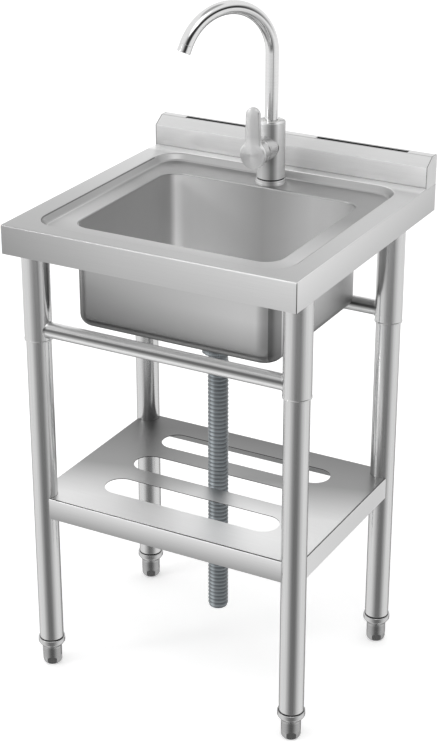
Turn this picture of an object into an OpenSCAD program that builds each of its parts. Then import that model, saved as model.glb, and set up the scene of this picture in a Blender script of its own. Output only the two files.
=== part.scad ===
// Free-standing kitchen sink unit. A pressed steel worktop with one bowl and a low
// splash stands on four round legs, with a slotted shelf, a single-lever mixer and a
// ribbed waste hose. The origin is on the floor under the middle of the worktop.
// X runs to the right, Y to the back and Z up. Millimetres and degrees.

/* [Worktop] */
// Width of the worktop, side to side
top_w = 500; // [480:5:600]
// Depth of the worktop, from its front edge to the back of the splash
top_d = 500; // [500:5:560]
// Height of the worktop surface above the floor
top_h = 800; // [760:5:900]
// Height of the folded apron
apron_h = 47; // [35:1:60]
// Thickness of the worktop, splash and shelf sheet
sheet_t = 1.2; // [0.8:0.1:1.5]
// Depth of the pressed recess round the bowl
recess_depth = 12; // [8:1:16]
// Run of the recess's sloping wall
recess_run = 8; // [5:1:10]
// Corner radius of the recess at the worktop surface
recess_r = 40; // [30:1:50]
// From the side edge of the worktop to the recess
recess_side = 34; // [28:1:50]
// From the front edge of the worktop to the recess
recess_front = 31; // [25:1:50]
// From the recess to the splash
recess_back = 20; // [14:1:22]

/* [Splash] */
// Height of the splash above the worktop surface
splash_h = 47; // [40:1:80]
// Depth of the splash at its foot
splash_d = 37; // [30:1:38]
// Depth of the flat on top of the splash
splash_top_d = 17; // [14:1:22]
// Height of the upright part of the splash's face
splash_face_h = 34; // [20:1:36]
// Length of each slot in the top of the splash
slot_len = 163; // [60:1:200]
// Width of each slot in the top of the splash
slot_w = 9; // [6:1:10]
// From the middle of the splash to the middle of each slot
slot_off = 123; // [115:1:130]

/* [Bowl] */
// Width of the bowl, side to side
bowl_w = 350; // [300:5:370]
// Depth of the bowl below the recess
bowl_depth = 167; // [130:1:168]
// From the front edge of the worktop to the bowl
bowl_front = 78; // [60:1:120]
// Radius of the bowl's upright corners
bowl_r = 30; // [22:1:45]
// Radius of the bend between the bowl's walls and its floor
bowl_floor_r = 16; // [13:1:20]
// Thickness of the bowl's sheet
bowl_t = 1; // [0.8:0.1:1.5]
// Width of the flange that the bowl is welded on by
bowl_flange = 4; // [2:0.5:5]

/* [Legs and rails] */
// Outer diameter of the lower legs
leg_d = 40; // [36:0.5:41]
// Wall of the upper legs
sleeve_wall = 1.7; // [1:0.1:2.5]
// Wall of the lower legs
leg_wall = 1.2; // [1:0.1:2]
// Gap between the upper legs and the side aprons
leg_gap = 0.3; // [0.3:0.1:4]
// From the front edge of the worktop to the front legs' axes
leg_front = 55; // [52:1:60]
// From the back of the worktop to the rear legs' axes
leg_rear = 116; // [80:1:130]
// From the worktop surface down to the lower ends of the upper legs
sleeve_drop = 203; // [195:1:300]
// Length of lower leg that is pushed up into the upper leg
leg_insert = 80; // [50:1:120]
// Outer diameter of the cross rails
rail_d = 25; // [16:0.5:26]
// Wall of the cross rails
rail_wall = 1.2; // [1:0.1:2]
// From the lower ends of the upper legs up to the rails' axes
rail_rise = 19; // [14:1:24]
// Thickness of the gusset plates that carry the legs
gusset_t = 3; // [2:0.5:5]
// Width of gusset plate round each leg
gusset_lip = 6; // [4:1:8]
// Diameter of the leg screws' shanks
leg_screw_d = 6; // [4:0.5:8]
// Height of the leg screws above the lower ends of the upper legs
leg_screw_rise = 40; // [34:1:45]

/* [Shelf] */
// Height of the shelf's top face above the floor
shelf_h = 322; // [200:1:400]
// Height of the shelf's folded edge
shelf_edge_h = 37; // [30:1:50]
// From the legs' axes out to the shelf's faces
shelf_over = 13.6; // [12:0.2:16]
// Number of slots across the shelf
shelf_slots = 3; // [1:2:3]
// Width of each slot
shelf_slot_w = 54; // [46:1:60]
// Length of each slot
shelf_slot_len = 316; // [200:2:340]
// Distance between the slots' middles
shelf_slot_pitch = 93; // [80:1:96]
// Width of the corner tabs that screw to the legs
tab_w = 24; // [16:1:28]
// Height of the corner tabs
tab_h = 26; // [20:1:28]
// Length of the corner tabs under the shelf
tab_len = 26; // [16:1:30]
// Thickness of the corner tabs
tab_t = 2; // [1.5:0.1:3]
// Diameter of the shelf screws' shanks
shelf_screw_d = 4; // [3:0.5:5]

/* [Feet] */
// Diameter of the collar under each leg
collar_d = 45; // [43:0.5:50]
// Height of the collar under each leg
collar_h = 16.5; // [12:0.5:20]
// Width of the rounding under the collar
collar_run = 6; // [3:0.5:8]
// Height of the rounding under the collar
collar_rise = 8; // [3:0.5:11]
// Length of the plug that holds the collar in the leg
plug_len = 22; // [12:1:30]
// Diameter of the foot
foot_d = 32; // [30:0.5:34]
// Height of the foot below its collar
foot_h = 33.5; // [30:0.5:45]
// Height of the wrench flats' straight part
flat_h = 11.5; // [9:0.5:18]
// Distance across the wrench flats
flat_af = 28; // [25:0.5:30]
// Rounding of the foot's lower edge
foot_round = 6; // [3:0.5:8]
// Diameter of the foot's stud
stud_d = 10; // [8:0.5:12]
// Length of the foot's stud
stud_len = 34; // [32:1:60]

/* [Waste] */
// Diameter of the waste's flange in the bowl
waste_d = 90; // [84:1:96]
// Thickness of the waste's flange
waste_flange_t = 1.5; // [1:0.1:2]
// Outer diameter of the waste's cup
cup_d = 70; // [66:1:74]
// Wall of the waste's cup
cup_wall = 1.5; // [1:0.1:2]
// Depth of the waste's cup below the bowl's floor
cup_depth = 38; // [36:1:50]
// Outer diameter of the waste's outlet
outlet_d = 38; // [34:0.5:40]
// Wall of the waste's outlet
outlet_wall = 3; // [2:0.5:4]
// Length of the waste's outlet
outlet_len = 21; // [18:1:30]
// Thickness of the waste's gasket
gasket_t = 2.5; // [1.5:0.5:4]
// Height of the waste's ring nut
ring_nut_h = 12; // [8:1:16]
// Diameter of the waste's ring nut and gasket
ring_nut_d = 94; // [86:1:100]
// Diameter of the hose's coupling nut
coupling_d = 52; // [48:1:60]
// Height of the hose's coupling nut
coupling_h = 20; // [16:1:24]
// Height of the strainer basket
basket_h = 28; // [20:1:30]
// Diameter of each hole in the strainer basket
basket_hole_d = 3.6; // [2:0.2:4]
// Diameter of the strainer's knob
knob_d = 16; // [12:1:22]

/* [Hose] */
// Outer diameter of the waste hose
hose_d = 34; // [33:0.5:40]
// Bore of the waste hose, across its corners
hose_bore = 28; // [27.5:0.25:29]
// Height of the hose's open end above the floor
hose_end_h = 85; // [30:5:200]
// Distance between the hose's ribs
rib_pitch = 7; // [5:0.5:14]
// Depth of the grooves between the ribs
rib_depth = 1.8; // [1:0.1:2.2]

/* [Mixer body] */
// Diameter of the mixer's body
mixer_d = 46; // [45:0.5:50]
// Height of the mixer's body above its base ring
mixer_h = 95.5; // [94:0.5:110]
// Diameter of the base ring
base_ring_d = 50; // [48:0.5:53]
// From the base ring back to the foot of the recess's wall
ledge_margin = 3.5; // [2:0.5:12]
// Height of the base ring
base_ring_h = 8.3; // [6:0.1:10]
// Diameter of the tap hole in the worktop
tap_hole_d = 35; // [34:0.5:36]
// Diameter of the threaded shank
shank_d = 32; // [31:0.5:33]
// Wall of the threaded shank
shank_wall = 2.5; // [1.5:0.1:2.5]
// Length of the shank below the recess
shank_len = 53; // [40:1:80]
// Length of the shank screwed into the body
shank_grip = 15.7; // [8:0.1:16]
// Diameter of the rubber and steel washers under the worktop
washer_d = 48; // [44:1:49]
// Thickness of the rubber washer
rubber_t = 3; // [2:0.5:4]
// Thickness of the steel washer
washer_t = 1.8; // [1:0.1:3]
// Distance across the flats of the shank nut
nut_af = 44; // [38:1:46]
// Height of the shank nut
nut_h = 12; // [8:1:16]
// Diameter of each water inlet
inlet_d = 10; // [8:0.5:10]
// Depth of each water inlet
inlet_len = 14; // [10:1:16]
// Distance between the water inlets
inlet_pitch = 14; // [13:0.5:15]
// Diameter of the drilled waterways
waterway_d = 5; // [3:0.5:5]

/* [Spout] */
// Outer diameter of the spout
spout_d = 22; // [20:0.5:22.4]
// Wall of the spout
spout_wall = 1.2; // [1:0.1:1.5]
// Height of the straight riser above the body
riser_h = 111; // [80:1:160]
// Radius of the spout's arc
arc_r = 81; // [60:1:100]
// Sweep of the spout's arc
arc_sweep = 156.5; // [130:0.5:180]
// Turn of the spout from straight forward towards the left
spout_turn = 31; // [0:1:60]
// Length of spout inside the body
spout_socket = 41; // [40:0.5:42]
// Length of the aerator
aerator_len = 13; // [8:0.5:18]
// Height of the spout's bearing ring
bush_h = 12; // [8:0.5:14]
// Wall of the spout's bearing ring
bush_wall = 2; // [1.5:0.1:2.5]

/* [Lever] */
// Height of the lever's axis above the recess
lever_h = 63; // [61:0.5:64]
// Diameter of the housing that carries the lever
housing_d = 41; // [40:0.5:42]
// From the body's axis to the end of the housing
housing_len = 36; // [35:0.5:37]
// Diameter of the cartridge
cartridge_d = 35; // [34:0.5:36]
// From the body's axis to the back of the cartridge
cartridge_seat = 15; // [14.5:0.5:16]
// Diameter of the lever's hub across its face
hub_d = 44.6; // [43:0.2:46]
// Diameter of the hub behind its face
neck_d = 40; // [38:0.5:40.5]
// From the body's axis to the hub's front face
hub_front = 68; // [66:0.5:72]
// Rounding of the hub's front edge
hub_round = 3; // [1:0.5:4]
// From the lever's axis up to the tip of the handle
handle_len = 78; // [60:1:90]
// Width of the handle
handle_w = 26; // [18:0.5:30]
// Thickness of the handle
handle_t = 9; // [6:0.5:10]
// From the body's axis to the pin that the lever tilts on
pivot_off = 26; // [25:0.5:27]
// Radius of the dome that the hub slides over
dome_r = 25; // [24:0.5:25.5]
// Bore through the dome for the lever's stem
dome_bore = 29; // [28:0.5:30]
// Width and height of the lever's stem
stem_w = 8; // [6:0.5:8]
// Diameter of the cartridge's turning carrier
carrier_d = 24; // [22:0.5:26]
// Diameter of the pin that the lever tilts on
pin_d = 3; // [2:0.2:3.4]
// Diameter of the grub screw under the lever
grub_d = 5; // [3:0.5:6]

/* [Hidden] */
$fn = 96;

// Colours of the pieces
sheet_colour = "#cdd0d1";
tube_colour = "#b4b7b9";
bowl_colour = "#9a9d9f";
satin_colour = "#d2d2cf";
brass_colour = "#b9964e";
rubber_colour = "#2b2d2e";
nylon_colour = "#e4e4df";
hose_colour = "#8b9397";

// Overrun of each cut past the face that it opens
cut = 1;
// Gap round curved faces that are welded, pushed or screwed together
snug = 0.1;
// Gap round curved faces that turn or slide on each other
running = 0.05;
// Gap round the lower leg in the upper one
leg_slip = 0.3;
// Gap between the bowl's flange and the mixer's washers
washer_gap = 0.5;
// Gap round moving pieces that don't guide each other
free = 0.4;

// Worktop and bowl
deck_z = top_h - recess_depth;
deck_under_z = deck_z - sheet_t;
apron_z = top_h - apron_h;
splash_y = top_d / 2 - splash_d;
recess_w = top_w - 2 * recess_side;
recess_front_y = recess_front - top_d / 2;
recess_back_y = splash_y - recess_back;
recess_l = recess_back_y - recess_front_y;
recess_y = (recess_front_y + recess_back_y) / 2;
// The mixer stands just before the recess's rear wall, and the bowl ends just before the mixer
mixer_y = recess_back_y - recess_run - ledge_margin - base_ring_d / 2;
bowl_front_y = bowl_front - top_d / 2;
bowl_back_y = mixer_y - washer_d / 2 - washer_gap - bowl_flange;
bowl_l = bowl_back_y - bowl_front_y;
bowl_y = (bowl_back_y + bowl_front_y) / 2;
bowl_bottom_z = deck_z - bowl_depth;
bowl_floor_z = bowl_bottom_z + bowl_t;

// Legs, rails and feet
sleeve_d = leg_d + 2 * leg_slip + 2 * sleeve_wall;
leg_x = top_w / 2 - sheet_t - leg_gap - sleeve_d / 2;
leg_front_y = leg_front - top_d / 2;
leg_rear_y = top_d / 2 - leg_rear;
gusset_z = deck_under_z - gusset_t;
sleeve_z = top_h - sleeve_drop;
rail_z = sleeve_z + rail_rise;
leg_z = foot_h + collar_h;
SIDES = [false, true];

// Shelf
shelf_w = 2 * (leg_x + shelf_over);
shelf_l = leg_rear_y - leg_front_y + 2 * shelf_over;
shelf_y = (leg_rear_y + leg_front_y) / 2;
shelf_z = shelf_h - shelf_edge_h;

// Proportions of a screw's head to its shank
head_d_share = 1.7;
head_h_share = 0.6;

// Waste, from the flange down to the end of the hose
cup_z = bowl_floor_z - cup_depth;
cup_floor_z = cup_z + cup_wall;
outlet_z = cup_z - outlet_len;
ring_nut_top_z = bowl_bottom_z - gasket_t;
tail_flange_t = 3;
tail_neck_d = 31;
tail_neck_h = 15;
tail_d = 25;
tail_len = 28;
coupling_lip = 3.5;
hose_top_z = outlet_z - tail_flange_t - tail_neck_h;
clamp_w = 9;
clamp_t = 1;
clamp_drop = 9;
strainer_plug_h = 5;
basket_wall = 0.8;
basket_post_d = 6;
basket_gap = 2;
knob_h = 7;
knob_gap = 3;

// The hose's route: straight down from the waste, given as [x, y] shifts at its two ends
hose_route = [[0, 0], [0, 0]];
hose_sides = 8;

// Mixer
body_z = deck_z + base_ring_h;
body_top_z = body_z + mixer_h;
lever_z = deck_z + lever_h;
inlet_z = body_z + shank_grip;
spout_z = body_top_z - spout_socket;
// The spout stands just clear of its ledge, on its seals
spout_foot_z = spout_z + running;
spout_ledge = 6;
spout_seat_wall = 1.8;
seal_h = 2.4;
seal_wall = 1.3;
seal_rise_shares = [0.12, 0.36];
body_chamfer = 1.5;
base_chamfer = 0.6;
arc_z = body_top_z + riser_h;
spout_way = 270 - spout_turn;

// Lever and cartridge, measured out along the lever's axis
carrier_back = 22;
carrier_front = 30;
stem_back = 23.5;
stem_front = 58;
stem_swing = 5;
grub_off = 55.5;
grub_len = 8;
handle_back = hub_front - handle_t;
hub_rim = pivot_off + sqrt(pow(dome_r + free, 2) - pow(neck_d / 2, 2));

function leg_place(right, rear) = [right ? leg_x : -leg_x, rear ? leg_rear_y : leg_front_y];

// A round tube that stands on Z = 0
module tube(d, wall, h) {
    difference() {
        cylinder(d = d, h = h);
        translate([0, 0, -cut]) cylinder(d = d - 2 * wall, h = h + 2 * cut);
    }
}

// A hexagonal prism that stands on Z = 0, by its distance across flats
module hexagon(af, h) {
    cylinder(d = af / cos(30), h = h, $fn = 6);
}

// A rectangle with round corners, centred on the origin
module rounded_rect(w, l, r) {
    square([w - 2 * r, l], center = true);
    square([w, l - 2 * r], center = true);
    for (x = [r - w / 2, w / 2 - r])
        for (y = [r - l / 2, l / 2 - r])
            translate([x, y]) circle(r = r);
}

// A shallow rectangular pan with sloping walls and round corners, given by its mouth
module pan(w, l, r, run, h) {
    for (x = [r - w / 2, w / 2 - r])
        for (y = [r - l / 2, l / 2 - r])
            translate([x, y, 0]) cylinder(r1 = r - run, r2 = r, h = h);
    rotate([90, 0, 0])
        linear_extrude(height = l - 2 * r, center = true)
            polygon([[run - w / 2, 0], [w / 2 - run, 0], [w / 2, h], [-w / 2, h]]);
    rotate([90, 0, 90])
        linear_extrude(height = w - 2 * r, center = true)
            polygon([[run - l / 2, 0], [l / 2 - run, 0], [l / 2, h], [-l / 2, h]]);
}

// Half of an upright profile from its middle outward, with its lower corner round
module turned_profile(r, h, round) {
    square([r - round, h]);
    translate([0, round]) square([r, h - round]);
    translate([r - round, round]) circle(r = round);
}

// Half of an upright profile from its middle outward, with its lower corner bent in steps
function bent_profile(reach, h, run, rise) = concat(
    [[0, 0]],
    [for (i = [0 : bend_steps])
        let(turn = 90 * i / bend_steps)
            [reach - run * (1 - sin(turn)), rise * (1 - cos(turn))]],
    [[reach, h], [0, h]]
);
bend_steps = 4;

// A deep rectangular dish with round upright corners and a stepped bend to its floor
module dish(w, l, r, round, h) {
    for (x = [r - w / 2, w / 2 - r])
        for (y = [r - l / 2, l / 2 - r])
            translate([x, y, 0]) rotate_extrude() polygon(bent_profile(r, h, round, round));
    rotate([90, 0, 0])
        linear_extrude(height = l - 2 * r, center = true) {
            polygon(bent_profile(w / 2, h, round, round));
            mirror([1, 0]) polygon(bent_profile(w / 2, h, round, round));
        }
    rotate([90, 0, 90])
        linear_extrude(height = w - 2 * r, center = true) {
            polygon(bent_profile(l / 2, h, round, round));
            mirror([1, 0]) polygon(bent_profile(l / 2, h, round, round));
        }
}

// A turned body with a chamfer round its lower and upper edges
module chamfered(d, h, lower, upper) {
    rotate_extrude()
        polygon([[0, 0], [d / 2 - lower, 0], [d / 2, lower], [d / 2, h - upper], [d / 2 - upper, h], [0, h]]);
}

// A button-headed screw along +Z, with its head's seat on Z = 0 and its shank below
module screw(d, len) {
    translate([0, 0, -len]) cylinder(d = d, h = len);
    cylinder(d1 = head_d_share * d, d2 = d, h = head_h_share * d);
}

module worktop() color(sheet_colour) difference() {
    union() {
        // Top sheet, up to the splash
        translate([-top_w / 2, -top_d / 2, top_h - sheet_t])
            cube([top_w, splash_y + top_d / 2, sheet_t]);
        // Front apron and side aprons
        translate([-top_w / 2, -top_d / 2, apron_z]) cube([top_w, sheet_t, apron_h]);
        for (x = [-top_w / 2, top_w / 2 - sheet_t])
            translate([x, -top_d / 2, apron_z]) cube([sheet_t, top_d, apron_h]);
        // Underside of the pressed recess
        translate([0, recess_y, deck_under_z])
            pan(recess_w + 2 * sheet_t, recess_l + 2 * sheet_t, recess_r + sheet_t,
                recess_run, recess_depth + sheet_t);
    }
    // The recess itself, carried on past the surface at the same slope
    over = recess_run * cut / recess_depth;
    translate([0, recess_y, deck_z])
        pan(recess_w + 2 * over, recess_l + 2 * over, recess_r + over, recess_run + over, recess_depth + cut);
    // The opening for the bowl and the tap hole
    translate([0, bowl_y, deck_under_z - cut])
        linear_extrude(height = sheet_t + 2 * cut) rounded_rect(bowl_w, bowl_l, bowl_r);
    translate([0, mixer_y, deck_under_z - cut]) cylinder(d = tap_hole_d, h = sheet_t + 2 * cut);
}

// The splash's bends, as [y, z]: its foot, the bend in its face, and the edges of its top
splash_slope = atan2(splash_h - splash_face_h, splash_d - splash_top_d);
splash_bend = [splash_y, top_h + splash_face_h];
splash_edge = [top_d / 2 - splash_top_d, top_h + splash_h];
splash_back = [top_d / 2, top_h + splash_h];

module backsplash() color(sheet_colour) difference() {
    // One sheet, folded up, back, level and down again
    rotate([90, 0, 90])
        linear_extrude(height = top_w - 2 * sheet_t, center = true)
            polygon([
                [splash_y, top_h - sheet_t], splash_bend, splash_edge, splash_back, [top_d / 2, apron_z],
                [top_d / 2 - sheet_t, apron_z],
                splash_back + sheet_t * [-1, -1],
                splash_edge + sheet_t * [tan(splash_slope / 2), -1],
                splash_bend + sheet_t * [1, -tan((90 - splash_slope) / 2)],
                [splash_y + sheet_t, top_h - sheet_t]
            ]);
    for (x = [-slot_off, slot_off])
        translate([x - slot_len / 2, top_d / 2 - splash_top_d / 2 - slot_w / 2, top_h + splash_h - sheet_t - cut])
            cube([slot_len, slot_w, sheet_t + 2 * cut]);
}

module splash_end_caps() color(sheet_colour)
    for (x = [-top_w / 2, top_w / 2 - sheet_t])
        translate([x, 0, 0]) rotate([90, 0, 90])
            linear_extrude(height = sheet_t)
                polygon([[splash_y, top_h], splash_bend, splash_edge, splash_back, [top_d / 2, top_h]]);

module bowl() color(bowl_colour) translate([0, bowl_y, 0]) difference() {
    union() {
        translate([0, 0, bowl_bottom_z])
            dish(bowl_w + 2 * bowl_t, bowl_l + 2 * bowl_t, bowl_r + bowl_t, bowl_floor_r + bowl_t,
                 deck_under_z - bowl_bottom_z);
        translate([0, 0, deck_under_z - bowl_t])
            linear_extrude(height = bowl_t)
                rounded_rect(bowl_w + 2 * bowl_flange, bowl_l + 2 * bowl_flange, bowl_r + bowl_flange);
    }
    translate([0, 0, bowl_floor_z])
        dish(bowl_w, bowl_l, bowl_r, bowl_floor_r, deck_under_z - bowl_floor_z + cut);
    translate([0, 0, bowl_bottom_z - cut]) cylinder(d = cup_d + 2 * snug, h = bowl_t + 2 * cut);
}

// Flat plates welded under the recess and into the aprons, one over each leg
module leg_gussets() color(tube_colour)
    for (right = SIDES)
        for (rear = SIDES) {
            y = leg_place(right, rear)[1];
            reach = sleeve_d / 2 + gusset_lip;
            y_low = rear ? y - reach : sheet_t - top_d / 2;
            x_low = leg_x - reach;
            x_high = top_w / 2 - sheet_t;
            translate([right ? x_low : -x_high, y_low, gusset_z])
                cube([x_high - x_low, y + reach - y_low, gusset_t]);
        }

module upper_leg(right, rear) color(tube_colour)
    translate(concat(leg_place(right, rear), [sleeve_z])) difference() {
        tube(sleeve_d, sleeve_wall, gusset_z - sleeve_z);
        translate([0, 0, leg_screw_rise]) rotate([-90, 0, 0])
            cylinder(d = leg_screw_d + 2 * snug, h = sleeve_d);
    }

module rail(y) color(tube_colour) difference() {
    translate([-leg_x, y, rail_z]) rotate([0, 90, 0]) tube(rail_d, rail_wall, 2 * leg_x);
    for (x = [-leg_x, leg_x])
        translate([x, y, rail_z - rail_d]) cylinder(d = sleeve_d + 2 * snug, h = 2 * rail_d);
}

module lower_leg(right, rear) color(tube_colour)
    translate(concat(leg_place(right, rear), [leg_z])) difference() {
        tube(leg_d, leg_wall, sleeve_z + leg_insert - leg_z);
        translate([0, 0, sleeve_z + leg_screw_rise - leg_z]) rotate([-90, 0, 0])
            cylinder(d = leg_screw_d + 2 * snug, h = leg_d);
        translate([0, 0, tab_screw_z - leg_z]) rotate([0, 90, shelf_way(right, rear)])
            cylinder(d = shelf_screw_d + 2 * snug, h = leg_d);
    }

// One screw through the back of each upper leg into the lower leg
module leg_screws() color(satin_colour)
    for (right = SIDES)
        for (rear = SIDES) {
            place = leg_place(right, rear);
            translate([place[0], place[1] + sleeve_d / 2, sleeve_z + leg_screw_rise])
                rotate([-90, 0, 0]) screw(leg_screw_d, (sleeve_d - leg_d) / 2 + leg_wall + leg_screw_d / 2);
        }

// The direction from each leg to the middle of the shelf, and the height of the screw there
function shelf_way(right, rear) = (rear ? -1 : 1) * (right ? 135 : 45);
tab_screw_z = shelf_h - sheet_t - tab_h / 2 - tab_t / 2;

module shelf() color(sheet_colour) difference() {
    translate([-shelf_w / 2, shelf_y - shelf_l / 2, shelf_z]) cube([shelf_w, shelf_l, shelf_edge_h]);
    translate([sheet_t - shelf_w / 2, shelf_y - shelf_l / 2 + sheet_t, shelf_z - cut])
        cube([shelf_w - 2 * sheet_t, shelf_l - 2 * sheet_t, shelf_edge_h - sheet_t + cut]);
    for (i = [0 : shelf_slots - 1])
        translate([0, bowl_y + (i - (shelf_slots - 1) / 2) * shelf_slot_pitch, shelf_h - sheet_t - cut])
            linear_extrude(height = sheet_t + 2 * cut)
                rounded_rect(shelf_slot_len, shelf_slot_w, shelf_slot_w / 2 - snug);
    for (right = SIDES)
        for (rear = SIDES)
            translate(concat(leg_place(right, rear), [shelf_z - cut]))
                cylinder(d = leg_d + 2 * snug, h = shelf_edge_h + 2 * cut);
}

// An angle bracket under each corner of the shelf, upright against the leg
module shelf_tabs() color(tube_colour)
    for (right = SIDES)
        for (rear = SIDES)
            translate(concat(leg_place(right, rear), [0])) rotate([0, 0, shelf_way(right, rear)])
                difference() {
                    union() {
                        translate([leg_d / 2 + snug, -tab_w / 2, shelf_h - sheet_t - tab_h])
                            cube([tab_t, tab_w, tab_h]);
                        translate([leg_d / 2 + snug, -tab_w / 2, shelf_h - sheet_t - tab_t])
                            cube([tab_len, tab_w, tab_t]);
                    }
                    translate([0, 0, tab_screw_z]) rotate([0, 90, 0])
                        cylinder(d = shelf_screw_d + 2 * snug, h = leg_d);
                }

module shelf_screws() color(satin_colour)
    for (right = SIDES)
        for (rear = SIDES)
            translate(concat(leg_place(right, rear), [tab_screw_z])) rotate([0, 0, shelf_way(right, rear)])
                translate([leg_d / 2 + snug + tab_t, 0, 0]) rotate([0, 90, 0])
                    screw(shelf_screw_d, tab_t + leg_wall + shelf_screw_d);

// A round-edged collar under the leg, with a threaded plug up inside it
module foot_collar(right, rear) color(tube_colour)
    translate(concat(leg_place(right, rear), [foot_h])) difference() {
        union() {
            rotate_extrude() polygon(bent_profile(collar_d / 2, collar_h, collar_run, collar_rise));
            translate([0, 0, collar_h]) cylinder(d = leg_d - 2 * leg_wall - 2 * snug, h = plug_len);
        }
        translate([0, 0, -cut]) cylinder(d = stud_d + 2 * running, h = collar_h + plug_len + 2 * cut);
    }

// A turned foot with six wrench flats, each with an arched top, and a threaded stud
module foot(right, rear) color(satin_colour)
    translate(concat(leg_place(right, rear), [0])) {
        difference() {
            rotate_extrude() turned_profile(foot_d / 2, foot_h, foot_round);
            // The arch of a flat rises over the chord that the flat makes across the foot
            chord = sqrt(pow(foot_d, 2) - pow(flat_af, 2));
            arch_r = chord * arch_share;
            for (i = [0 : 5])
                rotate([0, 0, 60 * i]) translate([flat_af / 2, 0, 0]) rotate([90, 0, 90])
                    linear_extrude(height = foot_d) {
                        translate([-chord / 2, -cut]) square([chord, flat_h + cut]);
                        intersection() {
                            translate([0, flat_h - sqrt(pow(arch_r, 2) - pow(chord / 2, 2))]) circle(r = arch_r);
                            translate([-chord / 2, 0]) square([chord, foot_h]);
                        }
                    }
        }
        translate([0, 0, foot_h]) cylinder(d = stud_d, h = stud_len);
    }
// Radius of a flat's arched top, as a share of the flat's chord
arch_share = 0.66;

// A flanged cup through the bowl's floor, with a threaded outlet
module waste_body() color(satin_colour) translate([0, bowl_y, 0]) difference() {
    union() {
        translate([0, 0, bowl_floor_z]) cylinder(d1 = waste_d, d2 = waste_d - waste_flange_t, h = waste_flange_t);
        translate([0, 0, cup_z]) cylinder(d = cup_d, h = cup_depth);
        translate([0, 0, outlet_z]) cylinder(d = outlet_d, h = outlet_len);
    }
    translate([0, 0, cup_floor_z]) cylinder(d = cup_d - 2 * cup_wall, h = cup_depth + waste_flange_t);
    translate([0, 0, outlet_z - cut]) cylinder(d = outlet_d - 2 * outlet_wall, h = outlet_len + cup_wall + 2 * cut);
}

module waste_gasket() color(rubber_colour)
    translate([0, bowl_y, ring_nut_top_z])
        tube(ring_nut_d, (ring_nut_d - cup_d) / 2 - snug, gasket_t);

// A ring nut with hand grips round its edge
module waste_ring_nut() color(nylon_colour)
    translate([0, bowl_y, ring_nut_top_z - ring_nut_h]) difference() {
        tube(ring_nut_d, (ring_nut_d - cup_d) / 2 - snug, ring_nut_h);
        for (i = [0 : grip_count - 1])
            rotate([0, 0, 360 * i / grip_count]) translate([ring_nut_d / 2 + grip_d * grip_out_share, 0, -cut])
                cylinder(d = grip_d, h = ring_nut_h + 2 * cut);
    }
grip_count = 12;
grip_d = 12;
grip_out_share = 0.25;

// A pierced basket that hangs clear inside the cup, on the rubber plug
module strainer_basket() color(satin_colour)
    translate([0, bowl_y, cup_floor_z + strainer_plug_h]) difference() {
        cylinder(d = basket_d, h = basket_h);
        translate([0, 0, basket_wall]) cylinder(d = basket_d - 2 * basket_wall, h = basket_h);
        for (ring = basket_ring_shares)
            for (i = [0 : ring[1] - 1])
                rotate([0, 0, 360 * i / ring[1]]) translate([ring[0] * basket_d / 2, 0, -cut])
                    cylinder(d = basket_hole_d, h = basket_wall + 2 * cut);
        for (row = basket_row_shares)
            for (i = [0 : basket_row_count - 1])
                rotate([0, 0, 360 * (i + row) / basket_row_count])
                    translate([basket_d / 2 - basket_wall - cut, 0, row * basket_h])
                        rotate([0, 90, 0]) cylinder(d = basket_hole_d, h = basket_wall + 2 * cut);
    }
basket_d = cup_d - 2 * cup_wall - 2 * basket_gap;
// Rings of holes in the basket's floor, as the ring's share of its radius and a count
basket_ring_shares = [[0.45, 8], [0.75, 14]];
// Rows of holes round the basket's wall, by their share of its height
basket_row_shares = [0.3, 0.7];
basket_row_count = 12;

// A knob on a post, to lift the basket by
module strainer_knob() color(satin_colour)
    translate([0, bowl_y, cup_floor_z + strainer_plug_h + basket_wall]) {
        cylinder(d = basket_post_d, h = basket_h + knob_gap - basket_wall);
        translate([0, 0, basket_h + knob_gap - basket_wall])
            chamfered(knob_d, knob_h, knob_h / 4, knob_h / 4);
    }

module strainer_plug() color(rubber_colour)
    translate([0, bowl_y, cup_floor_z]) cylinder(d = outlet_d, h = strainer_plug_h);

// A nut that draws the hose's tail up against the outlet
module coupling_nut() color(nylon_colour)
    translate([0, bowl_y, outlet_z - tail_flange_t - coupling_lip]) difference() {
        cylinder(d = coupling_d, h = coupling_h);
        translate([0, 0, -cut]) cylinder(d = tail_neck_d + 2 * snug, h = coupling_h);
        translate([0, 0, coupling_lip]) cylinder(d = outlet_d + 2 * snug, h = coupling_h);
        for (i = [0 : grip_count - 1])
            rotate([0, 0, 360 * i / grip_count]) translate([coupling_d / 2 + rib_depth, 0, -cut])
                cylinder(d = grip_d / 2, h = coupling_h + 2 * cut);
    }

// A flanged tail that the hose is pushed over, up to its neck
module hose_tail() color(nylon_colour) translate([0, bowl_y, 0]) difference() {
    union() {
        translate([0, 0, outlet_z - tail_flange_t]) cylinder(d = outlet_d, h = tail_flange_t);
        translate([0, 0, hose_top_z]) cylinder(d = tail_neck_d, h = tail_neck_h);
        translate([0, 0, hose_top_z - tail_len]) cylinder(d = tail_d, h = tail_len);
    }
    translate([0, 0, hose_top_z - tail_len - cut])
        cylinder(d = tail_d - 2 * outlet_wall, h = tail_len + tail_neck_h + tail_flange_t + 2 * cut);
}

// A steel band round the top of the hose, with the block of its tightening screw
module hose_clamp() color(satin_colour)
    translate([0, bowl_y, hose_top_z - clamp_drop - clamp_w]) {
        tube(hose_d + 2 * running + 2 * clamp_t, clamp_t, clamp_w);
        translate([-clamp_w / 2, hose_d / 2 + running + clamp_t / 2, 0]) cube([clamp_w, clamp_w, clamp_w]);
    }

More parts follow.
